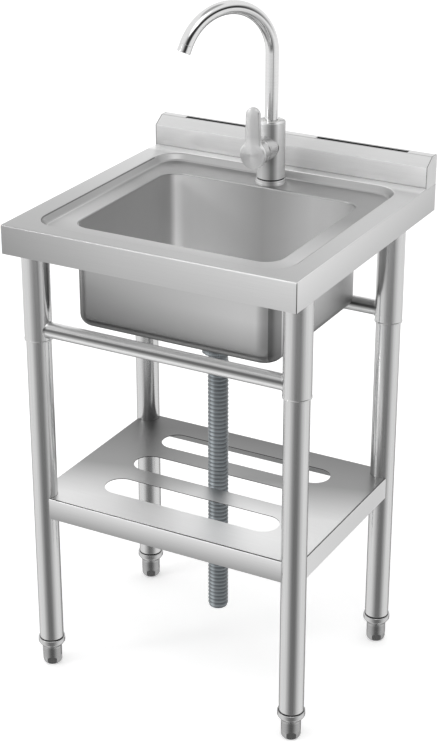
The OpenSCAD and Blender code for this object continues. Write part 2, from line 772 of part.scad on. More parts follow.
// The hose's rings, as [height, outer radius]: a plain cuff, then a groove and a crest
// for each rib, then a plain cuff
hose_len = hose_top_z - hose_end_h;
rib_count = floor((hose_len - 2 * hose_d) / rib_pitch);
rib_zone = rib_count * rib_pitch;
hose_rings = concat(
    [[0, hose_d / 2]],
    [for (i = [0 : rib_count - 1])
        for (half = [0, 1])
            [(hose_len - rib_zone) / 2 + (i + half / 2) * rib_pitch, hose_d / 2 - half * rib_depth]],
    [[(hose_len + rib_zone) / 2, hose_d / 2], [hose_len, hose_d / 2]]
);
// A point on the hose's route, the share t of the way down it
function hose_point(t) = hose_route[0] + t * (hose_route[1] - hose_route[0]);
function hose_ring(depth, r) = [
    for (k = [0 : hose_sides - 1])
        let(p = hose_point(depth / hose_len), turn = 360 * (k + 0.5) / hose_sides)
            [p[0] + r * cos(turn), p[1] + r * sin(turn), -depth]
];

// The ribbed waste hose, open at both ends
module drain_hose() color(hose_colour) {
    count = len(hose_rings);
    outer = [for (ring = hose_rings) each hose_ring(ring[0], ring[1])];
    inner = concat(hose_ring(0, hose_bore / 2), hose_ring(hose_len, hose_bore / 2));
    first_inner = count * hose_sides;
    walls = [
        for (i = [0 : count - 2])
            for (k = [0 : hose_sides - 1])
                let(a = i * hose_sides + k, b = i * hose_sides + (k + 1) % hose_sides)
                    each [[a, b, b + hose_sides], [a, b + hose_sides, a + hose_sides]]
    ];
    bore = [
        for (k = [0 : hose_sides - 1])
            let(a = first_inner + k, b = first_inner + (k + 1) % hose_sides)
                each [[a, b + hose_sides, b], [a, a + hose_sides, b + hose_sides]]
    ];
    top_rim = [
        for (k = [0 : hose_sides - 1])
            let(next = (k + 1) % hose_sides)
                each [[k, first_inner + next, next], [k, first_inner + k, first_inner + next]]
    ];
    last = (count - 1) * hose_sides;
    last_inner = first_inner + hose_sides;
    end_rim = [
        for (k = [0 : hose_sides - 1])
            let(next = (k + 1) % hose_sides)
                each [[last + k, last + next, last_inner + next], [last + k, last_inner + next, last_inner + k]]
    ];
    translate([0, bowl_y, hose_top_z])
        polyhedron(points = concat(outer, inner), faces = concat(walls, bore, top_rim, end_rim));
}

module mixer_base_ring() color(satin_colour)
    translate([0, mixer_y, deck_z]) difference() {
        chamfered(base_ring_d, base_ring_h, base_chamfer, body_chamfer);
        translate([0, 0, -cut]) cylinder(d = shank_d + 4 * snug, h = base_ring_h + 2 * cut);
    }

// Children lie on the lever's axis: their Z runs forward from the body's axis, their Y up
module on_lever_axis() {
    translate([0, mixer_y, lever_z]) rotate([90, 0, 0]) children();
}

module mixer_body() color(satin_colour) difference() {
    union() {
        translate([0, mixer_y, body_z]) chamfered(mixer_d, mixer_h, base_chamfer, body_chamfer);
        on_lever_axis() cylinder(d = housing_d, h = housing_len);
    }
    // Seat of the cartridge
    on_lever_axis() translate([0, 0, cartridge_seat])
        cylinder(d = cartridge_d + 2 * snug, h = housing_len);
    translate([0, mixer_y, 0]) {
        // Seats of the shank, the spout, its two seals and its bearing ring
        translate([0, 0, body_z - cut]) cylinder(d = shank_d + 2 * snug, h = shank_grip + cut);
        translate([0, 0, spout_z]) cylinder(d = spout_d + 6 * running, h = spout_socket + cut);
        translate([0, 0, spout_z - spout_ledge]) cylinder(d = spout_d - 2 * spout_seat_wall, h = spout_socket);
        for (share = seal_rise_shares)
            translate([0, 0, spout_z + share * spout_socket])
                cylinder(d = spout_d + 2 * seal_wall + 2 * snug, h = seal_h);
        translate([0, 0, body_top_z - bush_h])
            cylinder(d = spout_d + 2 * bush_wall + 2 * snug, h = bush_h + cut);
        // Water inlets and the ways from them up beside the cartridge
        for (side = [-1, 1]) translate([side * inlet_pitch / 2, 0, 0]) {
            translate([0, 0, inlet_z - cut]) cylinder(d = inlet_d, h = inlet_len + cut);
            translate([0, 0, inlet_z]) cylinder(d = waterway_d, h = way_z - inlet_z);
        }
    }
    // The ways into the cartridge, and the one out to the spout
    for (side = [-1, 1])
        translate([side * inlet_pitch / 2, mixer_y, way_z]) rotate([90, 0, 0])
            cylinder(d = waterway_d, h = cartridge_seat + cut);
    translate([0, mixer_y, spout_z - spout_ledge + waterway_d / 2]) rotate([90, 0, 0])
        cylinder(d = waterway_d, h = cartridge_seat + cut);
}
way_z = spout_z - spout_ledge - waterway_d;

module mixer_shank() color(brass_colour)
    translate([0, mixer_y, deck_z - shank_len]) tube(shank_d, shank_wall, shank_len + base_ring_h + shank_grip);

module mixer_rubber_washer() color(rubber_colour)
    translate([0, mixer_y, deck_under_z - rubber_t])
        tube(washer_d, (washer_d - shank_d) / 2 - snug, rubber_t);

module mixer_steel_washer() color(satin_colour)
    translate([0, mixer_y, deck_under_z - rubber_t - washer_t])
        tube(washer_d, (washer_d - shank_d) / 2 - snug, washer_t);

module mixer_nut() color(brass_colour)
    translate([0, mixer_y, deck_under_z - rubber_t - washer_t - nut_h]) difference() {
        rotate([0, 0, 30]) hexagon(nut_af, nut_h);
        translate([0, 0, -cut]) cylinder(d = shank_d + 2 * snug, h = nut_h + 2 * cut);
    }

module cartridge() color(nylon_colour) on_lever_axis() difference() {
    translate([0, 0, cartridge_seat]) cylinder(d = cartridge_d, h = carrier_front - cartridge_seat);
    translate([0, 0, carrier_back]) cylinder(d = carrier_d + 2 * running, h = carrier_front);
    // Ports for hot, cold and mixed water
    for (side = [-1, 1])
        translate([side * inlet_pitch / 2, way_z - lever_z, cartridge_seat - cut])
            cylinder(d = waterway_d, h = carrier_front);
    translate([0, spout_z - spout_ledge + waterway_d / 2 - lever_z, cartridge_seat - cut])
        cylinder(d = waterway_d, h = carrier_back - cartridge_seat + 2 * cut);
}

// The cartridge's turning part: the stem tilts in its slot
module cartridge_carrier() color(nylon_colour) on_lever_axis() difference() {
    translate([0, 0, carrier_back]) cylinder(d = carrier_d, h = carrier_front - carrier_back);
    translate([-stem_w / 2 - free, -stem_w / 2 - stem_swing, carrier_back - cut])
        cube([stem_w + 2 * free, stem_w + 2 * stem_swing, carrier_front]);
    translate([0, 0, pivot_off]) rotate([0, 90, 0])
        cylinder(d = pin_d + 2 * running, h = carrier_d, center = true);
}

module stem_pin() color(satin_colour) on_lever_axis()
    translate([0, 0, pivot_off]) rotate([0, 90, 0]) cylinder(d = pin_d, h = carrier_d - 4 * free, center = true);

module lever_stem() color(brass_colour) on_lever_axis() difference() {
    translate([-stem_w / 2, -stem_w / 2, stem_back]) cube([stem_w, stem_w, stem_front - stem_back]);
    translate([0, 0, pivot_off]) rotate([0, 90, 0])
        cylinder(d = pin_d + 2 * running, h = carrier_d, center = true);
}

// A domed ring that screws into the housing and holds the cartridge down
module cartridge_nut() color(satin_colour) on_lever_axis() difference() {
    union() {
        intersection() {
            translate([0, 0, housing_len]) cylinder(d = housing_d, h = dome_r);
            translate([0, 0, pivot_off]) sphere(r = dome_r);
        }
        translate([0, 0, carrier_front]) cylinder(d = cartridge_d, h = housing_len - carrier_front);
    }
    translate([0, 0, carrier_front - cut]) cylinder(d = dome_bore, h = dome_r + housing_len);
}

// The hub slides over the dome, and the handle stands up from it
module lever() color(satin_colour) on_lever_axis() difference() {
    union() {
        translate([0, 0, hub_front]) mirror([0, 0, 1])
            rotate_extrude() turned_profile(hub_d / 2, handle_t, hub_round);
        translate([0, 0, hub_rim]) cylinder(d = neck_d, h = hub_front - hub_round - hub_rim);
        translate([0, 0, handle_back]) linear_extrude(height = handle_t) {
            translate([0, handle_len - handle_w / 2]) circle(d = handle_w);
            translate([-handle_w / 2, 0]) square([handle_w, handle_len - handle_w / 2]);
        }
    }
    translate([0, 0, pivot_off]) sphere(r = dome_r + free);
    translate([-stem_w / 2 - running, -stem_w / 2 - running, pivot_off])
        cube([stem_w + 2 * running, stem_w + 2 * running, stem_front + running - pivot_off]);
    translate([0, 0, grub_off]) rotate([90, 0, 0]) cylinder(d = grub_d + 2 * running, h = hub_d);
}

module lever_screw() color(satin_colour) on_lever_axis()
    translate([0, -stem_w / 2, grub_off]) rotate([90, 0, 0]) cylinder(d = grub_d, h = grub_len);

module spout_bush() color(nylon_colour)
    translate([0, mixer_y, body_top_z - bush_h])
        tube(spout_d + 2 * bush_wall, bush_wall - running, bush_h);

module spout_seals() color(rubber_colour)
    for (share = seal_rise_shares)
        translate([0, mixer_y, spout_z + share * spout_socket])
            tube(spout_d + 2 * seal_wall, seal_wall - running, seal_h);

// Children lie in the spout's plane: their X runs out from the riser, their Z up
module in_spout_plane() {
    translate([0, mixer_y, 0]) rotate([0, 0, spout_way]) children();
}

// Children are rods of the spout's shape, solid, by their diameter and overrun
module spout_rod(d, over) {
    in_spout_plane() {
        translate([0, 0, spout_foot_z - over]) cylinder(d = d, h = arc_z - spout_foot_z + over);
        translate([arc_r, 0, arc_z]) mirror([1, 0, 0]) rotate([90, 0, 0])
            rotate_extrude(angle = arc_sweep) translate([arc_r, 0]) circle(d = d);
        if (over > 0) at_spout_tip() cylinder(d = d, h = over);
    }
}

// Children start at the end of the arc, and their Z runs on along the water
module at_spout_tip() {
    translate([arc_r, 0, arc_z]) rotate([0, arc_sweep, 0]) translate([-arc_r, 0, 0]) children();
}

module spout() color(satin_colour) difference() {
    spout_rod(spout_d, 0);
    spout_rod(spout_d - 2 * spout_wall, cut);
}

module aerator_shell() color(satin_colour) in_spout_plane() at_spout_tip()
    difference() {
        cylinder(d = spout_d, h = aerator_len);
        translate([0, 0, -cut]) cylinder(d = spout_d - 2 * spout_wall, h = aerator_len + 2 * cut);
    }

// A pierced disc just inside the aerator's mouth
module aerator_insert() color(nylon_colour) in_spout_plane() at_spout_tip()
    translate([0, 0, aerator_len * insert_share]) difference() {
        cylinder(d = spout_d - 2 * spout_wall - 2 * snug, h = aerator_len * insert_t_share);
        for (ring = insert_ring_shares)
            for (i = [0 : ring[1] - 1])
                rotate([0, 0, 360 * i / ring[1]]) translate([ring[0] * spout_d / 2, 0, -cut])
                    cylinder(d = spout_d * insert_hole_share, h = aerator_len);
    }
insert_share = 0.5;
insert_t_share = 0.4;
insert_hole_share = 0.08;
insert_ring_shares = [[0.25, 6], [0.5, 12]];

worktop();
backsplash();
splash_end_caps();
bowl();
leg_gussets();
upper_leg(false, false);  // upper_leg_front_left
upper_leg(true, false);  // upper_leg_front_right
upper_leg(false, true);  // upper_leg_rear_left
upper_leg(true, true);  // upper_leg_rear_right
rail(leg_front_y);  // front_rail
rail(leg_rear_y);  // rear_rail
lower_leg(false, false);  // lower_leg_front_left
lower_leg(true, false);  // lower_leg_front_right
lower_leg(false, true);  // lower_leg_rear_left
lower_leg(true, true);  // lower_leg_rear_right
leg_screws();
shelf();
shelf_tabs();
shelf_screws();
foot_collar(false, false);  // foot_collar_front_left
foot_collar(true, false);  // foot_collar_front_right
foot_collar(false, true);  // foot_collar_rear_left
foot_collar(true, true);  // foot_collar_rear_right
foot(false, false);  // foot_front_left
foot(true, false);  // foot_front_right
foot(false, true);  // foot_rear_left
foot(true, true);  // foot_rear_right
waste_body();
waste_gasket();
waste_ring_nut();
strainer_basket();
strainer_knob();
strainer_plug();
coupling_nut();
hose_tail();
hose_clamp();
drain_hose();
mixer_base_ring();
mixer_body();
mixer_shank();
mixer_rubber_washer();
mixer_steel_washer();
mixer_nut();
cartridge();
cartridge_carrier();
stem_pin();
lever_stem();
cartridge_nut();
lever();
lever_screw();
spout_bush();
spout_seals();
spout();
aerator_shell();
aerator_insert();
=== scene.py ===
"""A free-standing kitchen sink unit: a pressed stainless worktop with one deep bowl and a low splash,
on four round legs with a slotted shelf and levelling feet, with a lever mixer and a ribbed waste hose."""

import math

import bmesh
import bpy
from mathutils import Matrix, Vector


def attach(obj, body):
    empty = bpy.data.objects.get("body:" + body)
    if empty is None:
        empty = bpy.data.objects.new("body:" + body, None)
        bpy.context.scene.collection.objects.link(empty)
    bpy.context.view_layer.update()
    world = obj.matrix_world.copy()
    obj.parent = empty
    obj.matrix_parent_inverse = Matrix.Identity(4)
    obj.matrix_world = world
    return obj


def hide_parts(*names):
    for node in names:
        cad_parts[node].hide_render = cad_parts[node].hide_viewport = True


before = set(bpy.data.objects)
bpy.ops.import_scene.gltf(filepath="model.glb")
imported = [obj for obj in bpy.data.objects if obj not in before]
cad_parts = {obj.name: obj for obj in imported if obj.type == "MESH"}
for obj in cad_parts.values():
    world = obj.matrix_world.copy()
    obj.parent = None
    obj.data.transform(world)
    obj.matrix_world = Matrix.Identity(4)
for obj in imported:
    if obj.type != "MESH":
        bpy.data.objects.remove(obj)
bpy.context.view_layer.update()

# Camera: the unit is seen from its front right and above, as in the photograph, through a long lens
# that keeps its upright tubes nearly parallel.
viewpoint = bpy.data.objects.new("viewpoint", bpy.data.cameras.new("viewpoint"))
viewpoint.location = (1.2994, -2.3979, 1.7451)
look_at = Vector((-0.0086, 0.0, 0.506))
viewpoint.rotation_euler = (look_at - viewpoint.location).to_track_quat("-Z", "Y").to_euler()
viewpoint.data.lens = 88.96
bpy.context.scene.collection.objects.link(viewpoint)
bpy.context.scene.camera = viewpoint
bpy.context.scene.view_settings.view_transform = "Standard"


# Waste hose: blow-moulded polypropylene, blue-grey, with a round rib every 7 mm. It is pushed over the
# waste's tail, hangs straight down and ends open above the floor.
def linear(code):
    """An sRGB hex colour as the linear colour that shaders take"""
    parts = [int(code[i : i + 2], 16) / 255 for i in (0, 2, 4)]
    return [p / 12.92 if p <= 0.04045 else ((p + 0.055) / 1.055) ** 2.4 for p in parts] + [1.0]


def add(tree, kind, inputs=None, **settings):
    """Adds a node with its settings; an input takes a value, or another node's output as a link"""
    node = tree.nodes.new(kind)
    for name, value in settings.items():
        setattr(node, name, value)
    for name, value in (inputs or {}).items():
        if isinstance(value, bpy.types.NodeSocket):
            tree.links.new(value, node.inputs[name])
        else:
            node.inputs[name].default_value = value
    return node


def new_finish(name, **values):
    """A material with its shader's plain values; returns the material, its tree and its shader"""
    material = bpy.data.materials.new(name)
    material.use_nodes = True
    shader = material.node_tree.nodes["Principled BSDF"]
    for key, value in values.items():
        shader.inputs[key.replace("_", " ")].default_value = value
    return material, material.node_tree, shader


def grained(name, scale, detail, tones, shade=None, gloss=None, relief=None, fine=0.5, **values):
    """A finish with a grain, of one scale to the metre or one for each of X, Y and Z. It runs between two
    tones, as hex colours or plain factors, times a shade: a hex colour, or what a function gives for a
    place along X, Y and Z. It may vary the roughness between the two values of gloss, and stand in
    relief, by a strength and a depth. Returns the material, its tree, its shader and its grain."""
    material, tree, shader = new_finish(name, **values)
    coords = add(tree, "ShaderNodeTexCoord").outputs["Object"]
    lines = coords
    if isinstance(scale, tuple):
        lines = add(tree, "ShaderNodeMapping", {"Vector": coords, "Scale": scale}).outputs[0]
        scale = 1.0
    settings = {"Vector": lines, "Scale": scale, "Detail": detail, "Roughness": fine}
    grain = add(tree, "ShaderNodeTexNoise", settings).outputs["Fac"]
    dark, light = (linear(tone) if isinstance(tone, str) else [tone, tone, tone, 1.0] for tone in tones)
    shown = add(tree, "ShaderNodeMix", {0: grain, 6: dark, 7: light}, data_type="RGBA").outputs[2]
    if shade:
        if callable(shade):
            spot = add(tree, "ShaderNodeSeparateXYZ", {"Vector": coords})
            over = shade(tree, *spot.outputs)
        else:
            over = linear(shade)[:3]
        shown = add(tree, "ShaderNodeVectorMath", {0: shown, 1: over}, operation="MULTIPLY").outputs[0]
    tree.links.new(shown, shader.inputs["Base Color"])
    if gloss:
        varied = add(tree, "ShaderNodeMapRange", {"Value": grain, "To Min": gloss[0], "To Max": gloss[1]})
        tree.links.new(varied.outputs[0], shader.inputs["Roughness"])
    if relief:
        bump = add(tree, "ShaderNodeBump", {"Height": grain, "Strength": relief[0], "Distance": relief[1]})
        tree.links.new(bump.outputs["Normal"], shader.inputs["Normal"])
    return material, tree, shader, grain


def bearing(tree, x, y, axis_y=0.0):
    """The turn of a place round an upright axis, from straight ahead on to the right, in radians"""
    ahead = add(tree, "ShaderNodeMath", {0: y, 1: -1.0, 2: axis_y}, operation="MULTIPLY_ADD")
    return add(tree, "ShaderNodeMath", {0: x, 1: ahead.outputs[0]}, operation="ARCTAN2").outputs[0]


def apart(tree, turn, degrees):
    """How far a turn lies from a bearing in degrees, to either side, in radians"""
    off = add(tree, "ShaderNodeMath", {0: turn, 1: math.radians(degrees)}, operation="SUBTRACT")
    off = add(tree, "ShaderNodeMath", {0: off.outputs[0], 1: math.pi, 2: -math.pi}, operation="WRAP")
    return add(tree, "ShaderNodeMath", {0: off.outputs[0]}, operation="ABSOLUTE").outputs[0]


def mesh_piece(name, work):
    """A piece that takes over the mesh that was worked on"""
    mesh = bpy.data.meshes.new(name)
    work.to_mesh(mesh)
    work.free()
    piece = bpy.data.objects.new(name, mesh)
    bpy.context.scene.collection.objects.link(piece)
    return piece


def skin(name, *sheets):
    """A mesh over one or more sheets of points; a sheet is its rows, and whether each row closes"""
    work = bmesh.new()
    for rows, closed in sheets:
        rows = [[work.verts.new(point) for point in row] for row in rows]
        for low, high in zip(rows, rows[1:]):
            for i in range(len(low) if closed else len(low) - 1):
                j = (i + 1) % len(low)
                work.faces.new((low[i], low[j], high[j], high[i]))
    bmesh.ops.remove_doubles(work, verts=work.verts, dist=0.000004)
    return mesh_piece(name, work)


def circle(count):
    """The turns of so many equal steps round a circle"""
    return [2 * math.pi * i / count for i in range(count)]


def turned(name, profile, place=Matrix(), sides=64):
    """A round piece from its profile of (radius, height), listed up its outside"""
    rows = []
    for r, z in profile:
        rows.append([place @ Vector((r * math.cos(turn), r * math.sin(turn), z)) for turn in circle(sides)])
    return skin(name, (rows, True))


def fit(piece, material, body, stands_for=(), crease=40):
    """Gives a piece smooth shading with creases, its finish and its body; it stands for CAD nodes"""
    piece.data.shade_smooth()
    piece.data.set_sharp_from_angle(angle=math.radians(crease))
    weigh = piece.modifiers.new("weigh", "WEIGHTED_NORMAL")
    weigh.keep_sharp = True
    if not piece.data.materials:
        piece.data.materials.append(material)
    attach(piece, body)
    if stands_for:
        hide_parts(*stands_for)


bowl_y = -0.022
hose_top, hose_end, hose_r, hose_wall = 0.545, 0.085, 0.017, 0.0026
hose_length = hose_top - hose_end
rib_pitch, rib_depth, rib_steps, plain_ends = 0.007, 0.0018, 8, 0.004
hose_sides, path_steps = 48, 20
rib_count = math.floor((hose_length - plain_ends) / rib_pitch)
rib_start = (hose_length - rib_count * rib_pitch) / 2
bore_r, groove_r = hose_r - hose_wall, hose_r - rib_depth
lip_in, lip_up = 0.0003, 0.0004
hose_line = [(bore_r, 0.0), (groove_r - lip_in, 0.0), (groove_r, lip_up)]
for i in range(rib_count * rib_steps + 1):
    swell = 0.5 - 0.5 * math.cos(2 * math.pi * i / rib_steps)
    hose_line.append((groove_r + rib_depth * swell, rib_start + i * rib_pitch / rib_steps))
hose_line += [(groove_r, hose_length - lip_up), (groove_r - lip_in, hose_length)]
hose_line += [(bore_r, hose_length), (bore_r, 0.0)]
hose = turned("waste_hose", hose_line, Matrix.Translation((0, bowl_y, hose_end)), hose_sides)


def hose_painted_light(tree, x, y, z):
    """Painted shade and light: the grooves are painted darker and the rib crests lighter, and a painted
    highlight runs down the hose's front"""
    rate = 2 * math.pi / rib_pitch
    first = -rate * (hose_end + rib_start)
    # Painted shade in the grooves and painted light on the rib crests
    phase = add(tree, "ShaderNodeMath", {0: z, 1: rate, 2: first}, operation="MULTIPLY_ADD")
    wave = add(tree, "ShaderNodeMath", {0: phase.outputs[0]}, operation="COSINE")
    groove_shade_range = {"Value": wave.outputs[0], "From Min": -1.0, "From Max": 1.0, "To Min": 1.15, "To Max": 0.5}
    groove = add(tree, "ShaderNodeMapRange", groove_shade_range)
    # A painted highlight down the hose's front, a little to the left
    off = apart(tree, bearing(tree, x, y, bowl_y), -10)
    highlight_range = {"Value": off, "From Min": 0.0, "From Max": math.radians(24), "To Min": 1.9, "To Max": 1.0}
    painted_highlight = add(tree, "ShaderNodeMapRange", highlight_range, interpolation_type="SMOOTHSTEP")
    both = add(tree, "ShaderNodeMath", {0: groove.outputs[0], 1: painted_highlight.outputs[0]}, operation="MULTIPLY")
    return both.outputs[0]


# Moulded polypropylene is smooth and faintly waxy. Its grain of about 1.5 mm just breaks the glints
polypropylene = grained(
    "moulded_polypropylene", 650.0, 3.0, ("747B80", "888F93"), hose_painted_light, relief=(0.12, 0.0003),
    Roughness=0.24, Specular_IOR_Level=0.8,
)[0]
fit(hose, polypropylene, "frame", ["drain_hose"], crease=50)

# Studio: a white floor and an even white room with a few soft grey screens, which give round steel the
# dark middle band, the grey edges and the long dark streaks that it has in a real studio.
floor_half, floor_lift = 9, 0.28
work = bmesh.new()
bmesh.ops.create_grid(work, x_segments=2, y_segments=2, size=floor_half)
floor = mesh_piece("studio_floor", work)
floor_finish, tree, shader = new_finish(
    "white_floor", Base_Color=linear("FFFFFF"), Roughness=0.9, Specular_IOR_Level=0.0,
    Emission_Color=(1, 1, 1, 1),
)
# The floor is lifted to white where it is seen, and keeps the unit's shadow. The metal doesn't show
# the floor itself: its reflections pass through to the room below
path = add(tree, "ShaderNodeLightPath").outputs
seen = add(tree, "ShaderNodeMath", {0: path["Is Camera Ray"], 1: path["Is Glossy Ray"]}, operation="MAXIMUM")
lift = add(tree, "ShaderNodeMath", {0: seen.outputs[0], 1: floor_lift}, operation="MULTIPLY")
tree.links.new(lift.outputs[0], shader.inputs["Emission Strength"])
floor.data.materials.append(floor_finish)
floor.visible_glossy = False

room = bpy.data.worlds.new("studio_room")
room.use_nodes = True
bpy.context.scene.world = room
tree = room.node_tree
tree.nodes.clear()
way = add(tree, "ShaderNodeTexCoord")
parts = add(tree, "ShaderNodeSeparateXYZ", {"Vector": way.outputs["Generated"]}).outputs
turn = bearing(tree, parts["X"], parts["Y"])
level = None
# Each screen: its bearing from straight ahead and how far to either side it ends and is full, in
# degrees; the heights where it starts, is full, is full still and ends, from -1 to 1; and its tone
for middle, ends, full, heights, tone in (
    (28.5, 78, 8, (-1.2, -1.1, -0.39, -0.19), 0.20),
    (-157, 64, 28, (-1.2, -1.1, -0.46, -0.33), 0.28),
    (62, 88, 28, (-0.17, 0.03, 0.28, 0.66), 0.04),
    (48, 11, 3, (-0.37, -0.28, -0.12, 0.02), 0.45),
    (0, 400, 300, (0.91, 0.97, 1.1, 1.2), 0.45),
):
    shade = None
    for value, start, end in (
        (apart(tree, turn, middle), math.radians(ends), math.radians(full)),
        (parts["Z"], heights[0], heights[1]),
        (parts["Z"], heights[3], heights[2]),
    ):
        edges = {"Value": value, "From Min": start, "From Max": end}
        edge = add(tree, "ShaderNodeMapRange", edges, interpolation_type="SMOOTHSTEP").outputs[0]
        if shade:
            edge = add(tree, "ShaderNodeMath", {0: shade, 1: edge}, operation="MULTIPLY").outputs[0]
        shade = edge
    # The room's level goes from 1, where there is no screen, down to the screen's tone
    toned = {0: shade, 1: tone - 1.0, 2: 1.0}
    shade = add(tree, "ShaderNodeMath", toned, operation="MULTIPLY_ADD").outputs[0]
    if level:
        shade = add(tree, "ShaderNodeMath", {0: level, 1: shade}, operation="MULTIPLY").outputs[0]
    level = shade
path = add(tree, "ShaderNodeLightPath")
seen = add(tree, "ShaderNodeMix", {0: path.outputs["Is Camera Ray"], 2: level, 3: 1.0})
background = add(tree, "ShaderNodeBackground", {"Color": (1, 1, 1, 1), "Strength": seen.outputs[0]})
add(tree, "ShaderNodeOutputWorld", {"Surface": background.outputs[0]})

# A large soft lamp stands high in front and a small one to the left, both turned to the unit's middle
lamp_aim = Vector((0, 0, 0.5))
for name, place, size, power in (
    ("soft_lamp_front", (0.9, -1.5, 2.7), 1.6, 10),
    ("soft_lamp_left", (-1.95, -2.0, 1.7), 0.5, 9),
):
    lamp = bpy.data.objects.new(name, bpy.data.lights.new(name, "AREA"))
    lamp.data.size = size
    lamp.data.energy = power
    lamp.location = place
    lamp.rotation_euler = (lamp_aim - Vector(place)).to_track_quat("-Z", "Y").to_euler()
    bpy.context.scene.collection.objects.link(lamp)


# Worktop: one stainless sheet 1.2 mm thick with a pressed recess, an opening for the bowl, a front
# apron and two side aprons folded down from it. Its grain runs from left to right.
def eased(corners, radii, steps=5):
    """A profile with its inner corners rounded, each to its own radius, as points"""
    points = [Vector(corners[0])]
    for k, radius in enumerate(radii):
        here = Vector(corners[k + 1])
        back, on = Vector(corners[k]) - here, Vector(corners[k + 2]) - here
        half = back.angle(on) / 2
        reach = min(radius / math.tan(half), 0.49 * back.length, 0.49 * on.length)
        back.normalize()
        on.normalize()
        centre = here + (back + on).normalized() * reach / math.cos(half)
        start, end = here + back * reach - centre, here + on * reach - centre
        sweep = math.pi - 2 * half
        for i in range(steps + 1):
            done = sweep * i / steps
            bent = (start * math.sin(sweep - done) + end * math.sin(done)) / math.sin(sweep)
            points.append(centre + bent)
    points.append(Vector(corners[-1]))
    return points


def ring(x, front, back, radius, z, steps=8):
    """A level rectangle with round corners, as points from its rear right corner on to the left"""
    points = []
    radius = max(radius, 0)
    for cx, cy, first in (
        (x - radius, back - radius, 0), (radius - x, back - radius, 90),
        (radius - x, front + radius, 180), (x - radius, front + radius, 270),
    ):
        for k in range(steps + 1):
            turn = math.radians(first + 90 * k / steps)
            points.append((cx + radius * math.cos(turn), cy + radius * math.sin(turn), z))
    return points


def around(opening, out, z, steps=8):
    """A ring so far outside an opening, which is its half width, front, back and corner radius"""
    x, front, back, radius = opening
    return ring(x + out, front - out, back + out, radius + out, z, steps)


half_w, depth_y, top_z, apron_z, sheet_t = 0.25, 0.25, 0.8, 0.753, 0.0012
splash_y, fold, apron_corner_r = 0.213, 0.0026, 0.0016
deck_z, deck_bend, mouth_bend = 0.788, 0.006, 0.003
recess, mouth = (0.208, -0.211, 0.185, 0.032), (0.175, -0.172, 0.128, 0.030)
top_rows = [ring(half_w - fold, -depth_y + fold, splash_y, 0, top_z)]
# The recess: 12 mm deep, with a sloping wall and soft bends at its mouth and its foot
recess_line = [(0.030, top_z), (0.008, top_z), (0.0, deck_z), (-0.03, deck_z)]
for out, z in eased(recess_line, [deck_bend, deck_bend])[1:-1]:
    top_rows.append(around(recess, out, z))
# The bowl's opening, rolled down
for out, z in eased([(0.02, deck_z), (0.0, deck_z), (0.0, deck_z - 0.008)], [mouth_bend])[1:-1]:
    top_rows.append(around(mouth, out, z))
apron_rows = []
for inset, z in [(0, apron_z), *eased([(0, apron_z), (0, top_z), (0.02, top_z)], [fold])[1:-1]]:
    row = [(inset - half_w, splash_y, z)]
    for side in (-1, 1):
        round_r = max(apron_corner_r - inset, 0)
        for k in range(5):
            turn = math.radians(k * 22.5 + (180 if side < 0 else 270))
            x = side * (half_w - inset - round_r) + round_r * math.cos(turn)
            row.append((x, -depth_y + inset + round_r + round_r * math.sin(turn), z))
    row.append((half_w - inset, splash_y, z))
    apron_rows.append(row)
cheeks = []
for side in (-1, 1):
    ends = (depth_y, splash_y) if side < 0 else (splash_y, depth_y)
    cheeks.append(([[(side * half_w, y, z) for y in ends] for z in (apron_z, top_z - fold)], False))
worktop = skin("worktop_sheet", (top_rows, True), (apron_rows, False), *cheeks)


def settle(piece):
    """Applies the modifiers of a piece to its mesh"""
    bpy.context.view_layer.update()
    result = bpy.data.meshes.new_from_object(piece.evaluated_get(bpy.context.evaluated_depsgraph_get()))
    piece.modifiers.clear()
    piece.data = result


def thicken(piece, wall, face, back=None):
    """Gives a surface the thickness of its sheet, with another finish on its back if it has one"""
    piece.data.materials.append(face)
    sheet = piece.modifiers.new("sheet", "SOLIDIFY")
    sheet.thickness = wall
    sheet.offset = -1
    sheet.use_even_offset = True
    if back:
        piece.data.materials.append(back)
        sheet.material_offset = 1
    settle(piece)


def greys(tree, value, *stops):
    """A smooth run of grey tones over a length in metres; each stop is a length and a colour"""
    low, high = stops[0][0], stops[-1][0]
    share = add(tree, "ShaderNodeMapRange", {"Value": value, "From Min": low, "From Max": high})
    run = add(tree, "ShaderNodeValToRGB", {"Fac": share.outputs[0]})
    marks = run.color_ramp.elements
    marks[0].color, marks[1].color = linear(stops[0][1]), linear(stops[-1][1])
    for place, code in stops[1:-1]:
        marks.new((place - low) / (high - low)).color = linear(code)
    return run.outputs[0]


def zone(tree, value, side, limit, inside, outside, reach=0.0):
    """One colour where a length is GREATER_THAN or LESS_THAN a limit, or COMPARE within reach of it,
    and another elsewhere; each is a hex colour or a node's output"""
    inside, outside = (linear(tone) if isinstance(tone, str) else tone for tone in (inside, outside))
    within = add(tree, "ShaderNodeMath", {0: value, 1: limit, 2: reach}, operation=side)
    mixed = add(tree, "ShaderNodeMix", {0: within.outputs[0], 6: outside, 7: inside}, data_type="RGBA")
    return mixed.outputs[2]


def brushed_sheet(name, tones, metallic=1.0):
    """Brushed stainless sheet, which draws reflections out across its grain"""
    # Brush lines are really 0.1 mm apart; they are drawn 1.2 mm apart and 60 mm long, to show at all
    return grained(
        name, (16.0, 830.0, 830.0), 4.0, (0.94, 1.06), tones, gloss=(0.3, 0.4), relief=(0.05, 0.0002),
        fine=0.65, Metallic=metallic, Anisotropic=0.7,
    )[0]


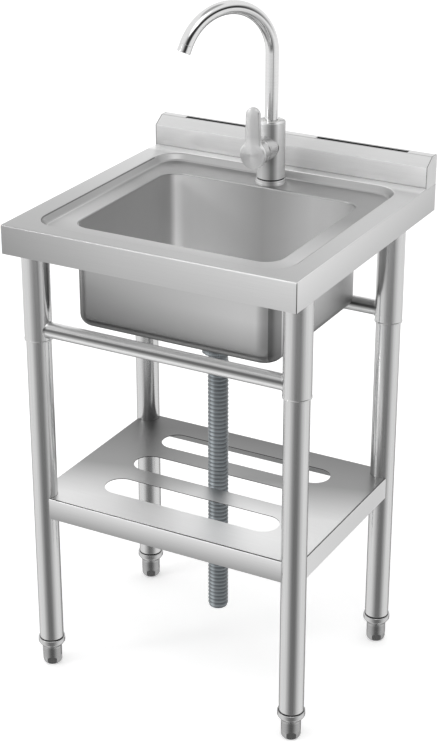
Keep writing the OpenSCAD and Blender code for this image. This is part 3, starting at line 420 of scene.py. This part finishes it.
def worktop_painted_light(tree, x, y, z):
    """Painted light and shade: the flat rim is lighter to the back and the deck darker, and the aprons
    lighter to the right and up
    """
    rim = greys(tree, y, (-0.25, "BBBBBB"), (0.18, "D8D8D8"), (0.192, "FAFAFA"), (0.213, "FFFFFF"))
    deck = greys(
        tree, y, (-0.2, "BEBEBE"), (-0.15, "D0D0D0"), (-0.05, "C0C0C0"), (0.05, "A4A4A4"), (0.12, "AAAAAA"),
        (0.17, "B8B8B8"),
    )
    # Painted shade: the recess's wall is a flat darker grey between the deck and a painted dark line along
    # its lip
    lip = zone(tree, y, "LESS_THAN", 0.15, "787878", "B0B0B0")
    tone = zone(tree, z, "LESS_THAN", 0.799, "B0B0B0", rim)
    tone = zone(tree, z, "COMPARE", 0.7982, lip, tone, 0.0008)
    tone = zone(tree, z, "LESS_THAN", 0.7888, deck, tone)
    # Painted shade: the aprons darken towards their lower edges, and their front corners are painted dark
    # lines
    apron_from, arris_from = 0.2488, 0.2489
    sides = add(tree, "ShaderNodeMath", {0: x}, operation="ABSOLUTE").outputs[0]
    front = greys(tree, x, (-0.25, "AFAFAF"), (-0.05, "D2D2D2"), (0.25, "EDEDED"))
    cheek = greys(tree, y, (-0.25, "EAEAEA"), (0.25, "CECECE"))
    apron = zone(tree, sides, "GREATER_THAN", apron_from, cheek, front)
    arris = zone(tree, y, "LESS_THAN", -arris_from, "6E6E6E", apron)
    apron = zone(tree, sides, "GREATER_THAN", arris_from, arris, apron)
    falling = {"Value": z, "From Min": apron_z, "From Max": 0.797, "To Min": 0.87}
    fall = add(tree, "ShaderNodeMapRange", falling).outputs[0]
    apron = add(tree, "ShaderNodeVectorMath", {0: apron, "Scale": fall}, operation="SCALE").outputs[0]
    tone = zone(tree, y, "LESS_THAN", -apron_from, apron, tone)
    return zone(tree, sides, "GREATER_THAN", apron_from, apron, tone)


top_steel = brushed_sheet("brushed_stainless_sheet", worktop_painted_light)
thicken(worktop, sheet_t, top_steel)
fit(worktop, top_steel, "frame", ["worktop"])


# Splash: one sheet folded up, sloped back, level and down again, welded between two end plates, with
# two long slots in its top.
def cut_away(piece, *tools):
    """Cuts the shapes of the tools out of a piece"""
    for tool in tools:
        cut = piece.modifiers.new("cut", "BOOLEAN")
        cut.object = tool
        cut.solver = "EXACT"
    settle(piece)
    for tool in tools:
        bpy.data.objects.remove(tool)


def block(name, outline, low, high, place=Matrix(), edge_r=0.0):
    """A straight solid over an outline, from one height to another, put in its place"""
    work = bmesh.new()
    base = work.faces.new([work.verts.new((point[0], point[1], low)) for point in outline])
    grown = bmesh.ops.extrude_face_region(work, geom=[base])
    moved = [part for part in grown["geom"] if isinstance(part, bmesh.types.BMVert)]
    bmesh.ops.translate(work, verts=moved, vec=(0, 0, high - low))
    bmesh.ops.recalc_face_normals(work, faces=work.faces)
    if edge_r:
        edges = work.edges[:]
        bmesh.ops.bevel(work, geom=edges, offset=edge_r, segments=2, profile=0.5, affect="EDGES")
    work.transform(place)
    return mesh_piece(name, work)


splash_z, splash_cut = 0.847, (0.84, 0.86)
splash_bends = [(splash_y, 0.834), (0.233, splash_z), (depth_y, splash_z)]
splash_line = eased(
    [(splash_y, top_z - 0.001), *splash_bends, (depth_y, apron_z)], [0.002, 0.002, 0.0022]
)
end_x = half_w - sheet_t
splash = skin("splash_sheet", ([[(x, y, z) for y, z in splash_line] for x in (end_x, -end_x)], False))


def splash_painted_light(tree, x, y, z):
    """Painted light and shade: the upright face is lighter upwards and darker at its left end, and the level
    top darker in front of its slots; the seams along its foot and beside its end plates are dark lines"""
    rise = greys(tree, z, (0.8, "C6C6C6"), (0.815, "E6E6E6"), (0.833, "FAFAFA"))
    along = greys(tree, x, (-0.23, "E6E6E6"), (-0.15, "FFFFFF"))
    face = add(tree, "ShaderNodeVectorMath", {0: rise, 1: along}, operation="MULTIPLY").outputs[0]
    level_top = greys(tree, y, (0.2335, "BABABA"), (0.2365, "E0E0E0"))
    tone = zone(tree, z, "LESS_THAN", 0.8335, face, "DCDCDC")
    tone = zone(tree, z, "LESS_THAN", 0.8008, "8C8C8C", tone)
    tone = zone(tree, z, "GREATER_THAN", 0.8466, level_top, tone)
    tone = zone(tree, y, "GREATER_THAN", 0.2495, "D0D0D0", tone)
    sides = add(tree, "ShaderNodeMath", {0: x}, operation="ABSOLUTE").outputs[0]
    tone = zone(tree, sides, "GREATER_THAN", 0.2486, "E0E0E0", tone)
    return zone(tree, sides, "COMPARE", 0.2484, "787878", tone, 0.0005)


# It has the worktop's grain, and scatters more of the light
splash_steel = brushed_sheet("brushed_stainless_splash", splash_painted_light, metallic=0.25)
# Behind the slots the sheet's back is painted near black, as painted shade for the inside of the slots; its
# grain is drawn 2 mm wide
painted_shade_back = grained("slot_shade_sheet_back", 500.0, 3.0, ("0E0E0E", "1C1C1C"), Roughness=0.7)[0]
thicken(splash, sheet_t, splash_steel, painted_shade_back)
slot_middle, slot_outline = 0.123, ring(0.0815, 0.2348, 0.2452, 0.0012, 0, 4)
slots = []
for x in (-slot_middle, slot_middle):
    slots.append(block("slot", slot_outline, *splash_cut, Matrix.Translation((x, 0, 0))))
cut_away(splash, *slots)
fit(splash, splash_steel, "frame", ["backsplash"])
# The end plates are drawn by (y, z) and stand across X
end_outline = [(splash_y, 0.7975), *splash_bends, (depth_y, 0.7975)]
across_x = Matrix(((0, 0, 1, 0), (1, 0, 0, 0), (0, 1, 0, 0), (0, 0, 0, 1)))
for name, low, high in (("splash_end_left", -half_w, -end_x), ("splash_end_right", end_x, half_w)):
    plate = block(name, end_outline, low, high, across_x, edge_r=0.0004)
    fit(plate, splash_steel, "frame", ["splash_end_caps"], crease=50)

# Bowl: deep-drawn stainless 1 mm thick, with round corners and a soft bend into its floor, welded by
# a narrow flange under the worktop's opening and polished inside.
floor_z, bowl_top_z, bowl_wall, floor_bend, waste_r = 0.622, 0.785, 0.001, 0.016, 0.036
bowl_rows = [around(mouth, 0, bowl_top_z)]
for out, z in eased([(0.0, bowl_top_z), (0.0, floor_z), (-0.08, floor_z)], [floor_bend], 8)[1:-1]:
    bowl_rows.append(around(mouth, out, z))
bowl_rows.append(ring(waste_r, bowl_y - waste_r, bowl_y + waste_r, waste_r, floor_z))
bowl = skin("bowl_shell", (bowl_rows, True))


def inside_painted_reflections(tree, x, y, z):
    """Painted reflections: the deep walls show broad upright bands, light by the left corner and dark in the
    middle, and the front wall and floor are painted lighter
    """
    walls = greys(
        tree, x, (-0.176, "ACACAC"), (-0.168, "B0B0B0"), (-0.16, "FFFFFF"), (-0.142, "FCFCFC"),
        (-0.1, "ECECEC"), (-0.05, "D4D4D4"), (0.0, "B8B8B8"), (0.03, "C2C2C2"), (0.06, "D2D2D2"),
        (0.09, "E0E0E0"), (0.12, "DEDEDE"), (0.15, "D0D0D0"), (0.176, "C4C4C4"),
    )
    tone = zone(tree, y, "LESS_THAN", -0.15, "F4F4F4", walls)
    return zone(tree, z, "LESS_THAN", floor_z + 0.001, "F0F0F0", tone)


# The polish is a satin one, so part of the light scatters, as from a pale surface. The press leaves a
# soft mottle, some 70 mm wide
drawn_steel, tree, shader, cloud = grained(
    "drawn_stainless", 14.0, 2.0, (0.97, 1.03), inside_painted_reflections, Metallic=0.4
)
# Faint upright draw marks, drawn 3 mm apart
coords = add(tree, "ShaderNodeTexCoord")
lines = add(tree, "ShaderNodeMapping", {"Vector": coords.outputs["Object"], "Scale": (330.0, 330.0, 9.0)})
drawn = {"Vector": lines.outputs[0], "Scale": 1.0, "Detail": 3.0}
marks = add(tree, "ShaderNodeTexNoise", drawn).outputs["Fac"]
both = add(tree, "ShaderNodeMath", {0: marks, 1: cloud}, operation="MULTIPLY")
worn = {"Value": both.outputs[0], "From Max": 0.5, "To Min": 0.32, "To Max": 0.42}
gloss = add(tree, "ShaderNodeMapRange", worn)
tree.links.new(gloss.outputs[0], shader.inputs["Roughness"])
bump = add(tree, "ShaderNodeBump", {"Height": marks, "Strength": 0.02, "Distance": 0.0003})
tree.links.new(bump.outputs["Normal"], shader.inputs["Normal"])


def outside_painted_shade(tree, x, y, z):
    """Painted shade: the outside darkens downwards, most at its bend and more to the left, and in its front
    corners
    """
    left = greys(
        tree, z, (0.621, "1E1E1E"), (0.6235, "2C2C2C"), (0.6275, "6E6E6E"), (0.65, "7E7E7E"),
        (0.69, "969696"), (0.73, "B8B8B8"), (0.785, "C0C0C0"),
    )
    right = greys(
        tree, z, (0.621, "262626"), (0.6235, "343434"), (0.6275, "949494"), (0.65, "B4B4B4"),
        (0.69, "D2D2D2"), (0.73, "D4D4D4"), (0.785, "D8D8D8"),
    )
    over = add(tree, "ShaderNodeMapRange", {"Value": x, "From Min": -0.16, "From Max": 0.12}).outputs[0]
    tone = add(tree, "ShaderNodeMix", {0: over, 6: left, 7: right}, data_type="RGBA").outputs[2]
    sides = add(tree, "ShaderNodeMath", {0: x}, operation="ABSOLUTE").outputs[0]
    painted_corner_shade = zone(tree, y, "LESS_THAN", -0.147, "B2B2B2", "FFFFFF")
    painted_corner_shade = zone(tree, sides, "GREATER_THAN", 0.163, painted_corner_shade, "FFFFFF")
    return add(tree, "ShaderNodeVectorMath", {0: tone, 1: painted_corner_shade}, operation="MULTIPLY").outputs[0]


# Outside, the steel is left as it came from the press: duller, and mottled some 110 mm wide. Its darker
# tones are painted shade
pressed_steel = grained(
    "unpolished_drawn_stainless", 9.0, 3.0, (0.95, 1.05), outside_painted_shade, gloss=(0.34, 0.46), Metallic=1.0
)[0]
thicken(bowl, bowl_wall, drawn_steel, pressed_steel)
fit(bowl, drawn_steel, "frame", ["bowl"])
flange_line = ((0.001, 0.7852), (0.004, 0.7852), (0.004, 0.7866), (0.001, 0.7866), (0.001, 0.7852))
flange = skin("bowl_flange", ([around(mouth, out, z) for out, z in flange_line], True))
fit(flange, pressed_steel, "frame")

# Legs: round stainless tube in two sizes. The upper tubes are welded to plates under the worktop and
# have a rolled lower edge; the lower tubes slide up into them and stand in the foot collars.
leg_x, front_y, rear_y, leg_r = 0.2265, -0.195, 0.134, 0.022
legs = {
    "front_left": (-leg_x, front_y), "front_right": (leg_x, front_y),
    "rear_left": (-leg_x, rear_y), "rear_right": (leg_x, rear_y),
}
# Drawing polishes the tube and leaves faint lines along it, drawn 1.5 mm apart
tube_steel = grained(
    "bright_drawn_tube", (660.0, 660.0, 6.0), 2.0, ("CACACA", "DADADA"), gloss=(0.19, 0.26), Metallic=1.0
)[0]
# Moulded rubber is matt and nearly black, with dust in its grain, which is drawn 1 mm wide
rubber = grained("black_rubber", 900.0, 2.0, ("141415", "232324"), Roughness=0.62)[0]
upper_line = [
    (0.0203, 0.7838), (0.0203, 0.5975), (0.0208, 0.597), (0.0222, 0.597), (0.0226, 0.5974),
    (0.0226, 0.5992), (0.0222, 0.5998), (0.0220, 0.6004), (leg_r, 0.7838),
]
lower_line = [
    (0.0188, 0.677), (0.0188, 0.0518), (0.0194, 0.0512), (0.0198, 0.0514), (0.02, 0.0518),
    (0.02, 0.6764), (0.0194, 0.677), (0.0188, 0.677),
]
# A near-black rubber ring inside each collar's mouth is painted shade for the gap round the tube
collar_gap_shade_line = [(0.0190, 0.0495), (0.0194, 0.0495), (0.0194, 0.052), (0.0190, 0.052)]
for key, (x, y) in legs.items():
    place = Matrix.Translation((x, y, 0))
    for part, line in (("upper", upper_line), ("lower", lower_line)):
        tube = turned(part + "_tube_" + key, line, place)
        fit(tube, tube_steel, "frame", [part + "_leg_" + key], crease=50)
    fit(turned("collar_gap_shade_" + key, collar_gap_shade_line, place), rubber, "frame")

# Rails: round tube between the upper legs, front and rear, with ends shaped to the legs and a small
# weld bead round each. They are belt-polished along their length, duller than the legs.
rail_z, rail_r = 0.616, 0.0125
# The weld bead, from the leg outwards: how far from the leg, and how much it stands out
weld = ((-0.0008, 0.0), (0.0, 0.0016), (0.0006, 0.0014), (0.0018, 0.0004), (0.0026, 0.0))


def rail_painted_reflections(tree, x, y, z):
    """Painted reflections: long bands along the rail, dark in its middle and light above"""
    return greys(
        tree, z, (0.6035, "888888"), (0.6105, "E0E0E0"), (0.6135, "ECECEC"), (0.6165, "A8A8A8"),
        (0.619, "626262"), (0.6212, "5E5E5E"), (0.6242, "C4C4C4"), (0.6285, "FFFFFF"),
    )


rail_steel = grained(
    "belt_polished_tube", (10.0, 660.0, 660.0), 2.0, (0.95, 1.05), rail_painted_reflections, gloss=(0.24, 0.34),
    Metallic=0.55,
)[0]
for name, y in (("front_rail", front_y), ("rear_rail", rear_y)):
    rows = []
    for side, stages in ((-1, weld), (1, weld[::-1])):
        for off, swell in stages:
            row = []
            for turn in circle(48):
                across, up = math.cos(turn) * (rail_r + swell), -math.sin(turn) * (rail_r + swell)
                x = leg_x - math.sqrt(max(leg_r**2 - across**2, 0)) - off
                row.append((side * x, y + across, rail_z + up))
            rows.append(row)
    fit(skin(name + "_tube", (rows, True)), rail_steel, "frame", [name], crease=50)

# Shelf: one stainless sheet with its four edges folded down, three long slots with round ends, and
# its corners cut out round the legs.
shelf_low, shelf_z = 0.285, 0.322
shelf_edge = (0.2401, -0.2086, 0.1476, 0.0016)
shelf_slot_x, shelf_slot_y, shelf_slot_r = 0.158, 0.027, 0.0269
shelf_slots, shelf_cut = (-0.115, bowl_y, 0.071), (0.31, 0.33)
leg_gap_r, leg_cut = 0.0203, (0.27, 0.34)
shelf_fold = eased([(0, shelf_low), (0, shelf_z), (0.02, shelf_z)], [fold])[1:-1]
shelf_rows = [around(shelf_edge, -inset, z, 4) for inset, z in [(0, shelf_low), *shelf_fold]]
shelf = skin("shelf_sheet", (shelf_rows, True))
work = bmesh.new()
work.from_mesh(shelf.data)
rim = [vert for vert in work.verts if vert.co.z > shelf_z - 0.00001]
work.faces.new(sorted(rim, key=lambda vert: math.atan2(vert.co.y + 0.0305, vert.co.x)))
work.to_mesh(shelf.data)
work.free()


def shelf_painted_shade(tree, x, y, z):
    """Painted light and shade: the shelf darkens from its front right to its rear left, where the bowl
    stands over it, and its front edge darkens downwards
    """
    slant = add(tree, "ShaderNodeMath", {0: x, 1: -0.28, 2: y}, operation="MULTIPLY_ADD").outputs[0]
    level_top = greys(
        tree, slant, (-0.2, "FAFAFA"), (-0.12, "F2F2F2"), (-0.07, "D8D8D8"), (0.0, "A0A0A0"),
        (0.16, "767676"),
    )
    rising = {"Value": z, "From Min": shelf_low, "From Max": 0.32, "To Min": 0.58, "To Max": 1.28}
    rise = add(tree, "ShaderNodeMapRange", rising).outputs[0]
    front = greys(tree, x, (-0.24, "DCDCDC"), (0.24, "E8E8E8"))
    front = add(tree, "ShaderNodeVectorMath", {0: front, "Scale": rise}, operation="SCALE").outputs[0]
    flank = greys(tree, y, (-0.2, "F2F2F2"), (0.14, "E4E4E4"))
    tone = zone(tree, z, "LESS_THAN", 0.3195, "D8D8D8", level_top)
    tone = zone(tree, y, "LESS_THAN", -0.2075, front, tone)
    tone = zone(tree, x, "GREATER_THAN", 0.239, flank, tone)
    # Painted shade: the cut edges of the slots and the bends of the rim are painted dark lines, and so is
    # the rear rim's inside
    sides = add(tree, "ShaderNodeMath", {0: x}, operation="ABSOLUTE").outputs[0]
    cut = zone(tree, y, "COMPARE", -0.0325, "141414", "606060", 0.157)
    cut = zone(tree, sides, "LESS_THAN", 0.2, cut, "606060")
    tone = zone(tree, z, "COMPARE", 0.3214, cut, tone, 0.0005)
    back = zone(tree, y, "COMPARE", 0.1464, "9C9C9C", tone, 0.0004)
    return zone(tree, z, "LESS_THAN", 0.3208, back, tone)


shelf_steel = brushed_sheet("brushed_stainless_shelf", shelf_painted_shade)
thicken(shelf, sheet_t, shelf_steel)
tools = []
slot_outline = ring(shelf_slot_x, -shelf_slot_y, shelf_slot_y, shelf_slot_r, 0, 12)
for y in shelf_slots:
    tools.append(block("slot", slot_outline, *shelf_cut, Matrix.Translation((0, y, 0))))
gap_outline = [(leg_gap_r * math.cos(turn), leg_gap_r * math.sin(turn)) for turn in circle(64)]
for x, y in legs.values():
    tools.append(block("leg_gap", gap_outline, *leg_cut, Matrix.Translation((x, y, 0))))
cut_away(shelf, *tools)
fit(shelf, shelf_steel, "frame", ["shelf"])


# Small steel under the worktop and the shelf: welded leg plates, angle tabs, and button-head screws
# of plain bright steel.
def dress(material, *nodes):
    """Gives CAD nodes that stay in view their finish"""
    for name in nodes:
        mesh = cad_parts[name].data
        mesh.materials.clear()
        mesh.materials.append(material)


# Pickled steel is slightly rough, which softens its shine; its unevenness is drawn 2.4 mm wide
plain_steel = grained(
    "plain_bright_steel", 420.0, 3.0, ("AAAAAA", "C6C6C6"), relief=(0.08, 0.0002),
    Metallic=1.0, Roughness=0.28,
)[0]
dress(plain_steel, "leg_gussets", "shelf_tabs", "leg_screws", "shelf_screws")
dress(plain_steel, "hose_clamp", "mixer_steel_washer", "stem_pin")


# Foot collars: turned stainless, with a black gap where the tube stands in them. Feet: turned and
# satin, with six wrench flats, on threaded studs.
def darker_feet(tree, x, y, z):
    """The feet below the collars are darker"""
    below = {"Value": z, "From Min": 0.030, "From Max": 0.036, "To Min": 0.66}
    return add(tree, "ShaderNodeMapRange", below).outputs[0]


# Turning leaves fine rings, drawn 1.4 mm apart up the foot
turned_steel = grained(
    "turned_satin_steel", (5.0, 5.0, 700.0), 2.0, ("BFBFBF", "D2D2D2"), darker_feet, gloss=(0.2, 0.3),
    Metallic=1.0,
)[0]
collar_line = eased(
    [
        (0.0052, 0.0335), (0.0165, 0.0335), (0.0225, 0.0415), (0.0225, 0.050), (0.0203, 0.050),
        (0.0203, 0.0482),
    ],
    [0.001, 0.004, 0.0008, 0.0003], 4,
)
for key, (x, y) in legs.items():
    collar = turned("collar_" + key, collar_line, Matrix.Translation((x, y, 0)))
    fit(collar, turned_steel, "frame", ["foot_collar_" + key], crease=50)
    dress(turned_steel, "foot_" + key)

# Waste: a steel flange and cup and a pierced basket with a lifting knob, pressed and turned and then
# polished, so that they show the room with an unevenness about 4 mm wide. The basket's plug and the
# gasket are rubber, and the nuts under the bowl are of the hose's plastic.
polished = grained(
    "polished_stainless", 260.0, 3.0, ("D4D4D4", "E0E0E0"), gloss=(0.1, 0.2), Metallic=1.0
)[0]
# The mixer's inner parts are moulded nylon: milky white, half matt, with a grain drawn 2 mm wide
nylon = grained("moulded_nylon", 500.0, 2.0, ("DCDCD8", "E8E8E4"), relief=(0.06, 0.0002), Roughness=0.42)[0]
dress(polished, "waste_body", "strainer_basket", "strainer_knob")
dress(rubber, "waste_gasket", "strainer_plug", "mixer_rubber_washer", "spout_seals")
dress(polypropylene, "waste_ring_nut", "coupling_nut", "hose_tail")
dress(nylon, "cartridge", "cartridge_carrier", "spout_bush", "aerator_insert")

# Mixer body: cast brass, plated in satin nickel, with a straight barrel and a round housing for the
# cartridge at its front. It stands on a base ring with a dark rubber seal between them, whose black is
# partly painted shade for that gap.
mixer_y, lever_z = 0.1565, 0.851


def plated(name, axis, rough, drawn_out, metallic, tones):
    """Satin nickel with faint polishing rings round an axis, which draw reflections out across them"""
    # The rings are drawn 1.5 mm apart
    scale = tuple(660.0 if way == axis else 8.0 for way in "XYZ")
    material, tree, shader, _ = grained(
        name, scale, 2.0, (0.93, 1.05), tones, gloss=(rough, rough + 0.05),
        Metallic=metallic, Anisotropic=drawn_out, Anisotropic_Rotation=0.25,
    )
    about = add(tree, "ShaderNodeTangent", direction_type="RADIAL", axis=axis)
    tree.links.new(about.outputs[0], shader.inputs["Tangent"])
    return material


def barrel_painted_reflections(tree, x, y, z):
    """Painted reflections: upright streaks round the barrel; a place is a turn in degrees"""
    turn = bearing(tree, x, y, mixer_y)
    degrees = add(tree, "ShaderNodeMath", {0: turn, 1: 180 / math.pi}, operation="MULTIPLY").outputs[0]
    return greys(
        tree, degrees, (-180, "CCCCCC"), (-140, "F4F4F4"), (-100, "B4B4B4"), (-61, "CCCCCC"),
        (-15, "FCFCFC"), (8, "D2D2D2"), (27, "8C8C8C"), (36, "989898"), (56, "FFFFFF"), (84, "DCDCDC"),
        (118, "A0A0A0"), (150, "ECECEC"), (180, "CCCCCC"),
    )


body_nickel = plated("satin_nickel_plate", "Z", 0.22, 0.7, 0.2, barrel_painted_reflections)
ring_nickel = plated("satin_nickel_rings", "Y", 0.22, 0.7, 0.7, "CCCCCC")
upright = Matrix.Translation((0, mixer_y, 0))
on_axis = Matrix.Translation((0, mixer_y, lever_z)) @ Matrix.Rotation(math.pi / 2, 4, "X")
foot_ring_line = [(0.016, 0.7884), *eased(
    [(0.0245, 0.788), (0.025, 0.788), (0.025, 0.7918), (0.0242, 0.7918), (0.0242, 0.7957), (0.0218, 0.7957)],
    [0.0003, 0.0006, 0.0002, 0.0008], 4,
)]
foot_ring = turned("mixer_foot_ring", foot_ring_line, upright)
fit(foot_ring, body_nickel, "frame", ["mixer_base_ring"], crease=50)
# The seal is rubber, set back in the gap under the barrel; its black is partly painted shade for that gap
foot_seal_line = [(0.0209, 0.7950), (0.0213, 0.7952), (0.0213, 0.7990), (0.0209, 0.7990)]
fit(turned("mixer_foot_seal", foot_seal_line, upright), rubber, "frame")
# The barrel is bored for the shank, and across for the cartridge's housing
barrel_line = eased(
    [(0.0205, 0.7981), (0.023, 0.7981), (0.023, 0.8918), (0.0131, 0.8918), (0.0131, 0.8790)],
    [0.0005, 0.002, 0.0003],
)
barrel_line += [(0.0112, 0.879), (0.0112, 0.7981), (0.0205, 0.7981)]
housing_line = [(0.0205, 0.015), *eased(
    [(0.0205, 0.02), (0.0205, 0.0357), (0.0145, 0.0357), (0.0145, 0.03)], [0.0006, 0.0003], 4
)[1:]]
barrel = turned("mixer_barrel", barrel_line, upright, 96)
cut_away(barrel, turned("bore", [(0.0, 0.002), (0.0199, 0.002), (0.0199, 0.03), (0.0, 0.03)], on_axis))
fit(barrel, body_nickel, "frame", ["mixer_body"], crease=50)
housing = turned("cartridge_housing", housing_line, on_axis, 96)
fit(housing, ring_nickel, "frame", crease=50)
dress(ring_nickel, "cartridge_nut", "lever_screw")
# Machined brass is yellow and slightly dull, with tool marks drawn 2.6 mm wide
brass = grained("machined_brass", 380.0, 2.0, ("B79758", "C9AC6E"), Metallic=1.0, Roughness=0.26)[0]
dress(brass, "mixer_shank", "mixer_nut", "lever_stem")

# Lever: cast and plated like the body. A round neck slides over the domed ring, and before it stands a
# disc and paddle in one, slightly crowned and spun, which draws the light on its face out into a cone.
neck_line = eased([(0.0186, 0.0424), (0.02, 0.0424), (0.02, 0.0592), (0.0, 0.0592)], [0.0006, 0.0002], 4)
fit(turned("lever_neck", neck_line, on_axis, 96), ring_nickel, "lever", crease=50)


def paddle_painted_shade(tree, x, y, z):
    """The paddle is painted a little darker than the disc under it, as painted shade"""
    return greys(tree, z, (0.868, "FFFFFF"), (0.882, "E4E4E4"))


# Its polish is drawn with an unevenness 2 mm wide
spun, tree, shader, _ = grained(
    "spun_nickel_face", 500.0, 2.0, ("E8E8E8", "F0F0F0"), paddle_painted_shade, gloss=(0.28, 0.36),
    Metallic=0.75, Anisotropic=0.8, Anisotropic_Rotation=0.25,
)
about = add(tree, "ShaderNodeTangent", direction_type="RADIAL", axis="Y")
tree.links.new(about.outputs[0], shader.inputs["Tangent"])
disc_r, foot_w, tip_w, paddle_top, fillet = 0.0223, 0.0132, 0.0120, 0.078, 0.010
rise = math.sqrt((disc_r + fillet) ** 2 - (foot_w + fillet) ** 2)
touch = math.atan2(rise, foot_w + fillet)
# The right half of the outline, from under the disc up its rim, over the fillet and up to the tip
half = []
for i in range(24):
    turn = (touch + math.pi / 2) * i / 24 - math.pi / 2
    half.append((disc_r * math.cos(turn), disc_r * math.sin(turn)))
for i in range(9):
    turn = math.pi + touch * (1 - i / 8)
    half.append((foot_w + fillet + fillet * math.cos(turn), rise + fillet * math.sin(turn)))
for i in range(1, 8):
    share = i / 8
    half.append((foot_w + (tip_w - foot_w) * share, rise + (paddle_top - tip_w - rise) * share))
for i in range(17):
    turn = math.pi / 2 * i / 16
    half.append((tip_w * math.cos(turn), paddle_top - tip_w + tip_w * math.sin(turn)))
half[0], half[-1] = (0.0, -disc_r), (0.0, paddle_top)
outline = [Vector(point) for point in half + [(-x, y) for x, y in half[-2:0:-1]]]
outward = []
for k in range(len(outline)):
    along = outline[(k + 1) % len(outline)] - outline[k - 1]
    outward.append(Vector((along.y, -along.x)).normalized())
# The face's crown rises from its rim to a spine along its middle
spine = [Vector((0, min(max(point.y, 0), paddle_top - tip_w))) for point in outline]
face_z, back_z, crown, soft = 0.068, 0.059, 0.0010, 0.0020
rows = []
for share in (0, 0.2, 0.4, 0.6, 0.8, 1):
    row = []
    for point, normal, middle in zip(outline, outward, spine):
        row.append((middle + (point - normal * soft - middle) * share, face_z - crown * share**2))
    rows.append(row)
for i in range(1, 7):
    turn = math.pi / 2 * i / 6
    inset, drop = soft * (1 - math.sin(turn)), crown + soft * (1 - math.cos(turn))
    rows.append([(point - normal * inset, face_z - drop) for point, normal in zip(outline, outward)])
for inset, z in ((0, back_z + 0.0012), (0.0004, back_z + 0.0004), (0.0012, back_z)):
    rows.append([(point - normal * inset, z) for point, normal in zip(outline, outward)])
rows.append([(middle, back_z) for middle in spine])
rows = [[on_axis @ Vector((flat.x, flat.y, z)) for flat, z in row] for row in reversed(rows)]
paddle = skin("lever_paddle", (rows, True))
# The spinning is centred on the lever's axis
paddle.data.use_auto_texspace = False
paddle.data.texspace_location = on_axis.translation
paddle.data.texspace_size = (0.05, 0.05, 0.05)
fit(paddle, spun, "lever", ["lever"], crease=60)

# Spout: 22 mm tube, bent in one round arch and plated satin nickel, with a screwed aerator ring at
# its mouth. It turns in a nylon ring at the top of the body.
tube_nickel = plated("satin_nickel_tube", "Z", 0.08, 0.0, 1.0, "E2E2E2")
tube_r, spout_turn = 0.011, math.radians(239)
arc_r, arc_z, sweep, arc_steps = 0.081, 1.0028, math.radians(156.5), 64
out = Vector((math.cos(spout_turn), math.sin(spout_turn), 0))
up = Vector((0, 0, 1))
side_way = out.cross(up)
foot = Vector((0, mixer_y, 0))
stations = [(foot + up * z, up) for z in (0.858, 0.9, 0.95, arc_z)]
for i in range(1, arc_steps + 1):
    bend = sweep * i / arc_steps
    point = foot + up * arc_z + out * arc_r + arc_r * (up * math.sin(bend) - out * math.cos(bend))
    stations.append((point, out * math.sin(bend) + up * math.cos(bend)))
rows = []
for point, along in stations:
    level_way = side_way.cross(along)
    rows.append([
        point + tube_r * (side_way * math.cos(turn) - level_way * math.sin(turn)) for turn in circle(48)
    ])
fit(skin("spout_tube", (rows, True)), tube_nickel, "spout", ["spout"], crease=50)
tip, ahead_way = stations[-1]
at_tip = Matrix.Translation(tip) @ ahead_way.to_track_quat("Z", "Y").to_matrix().to_4x4()
aerator_line = [(0.0100, -0.0004), *eased(
    [(0.0100, 0.0005), (tube_r, 0.0005), (tube_r, 0.013), (0.0096, 0.013), (0.0094, 0.004)],
    [0.0004, 0.0006, 0.0003], 4,
)]
aerator = turned("aerator_ring", aerator_line, at_tip, 48)
fit(aerator, tube_nickel, "spout", ["aerator_shell"], crease=50)
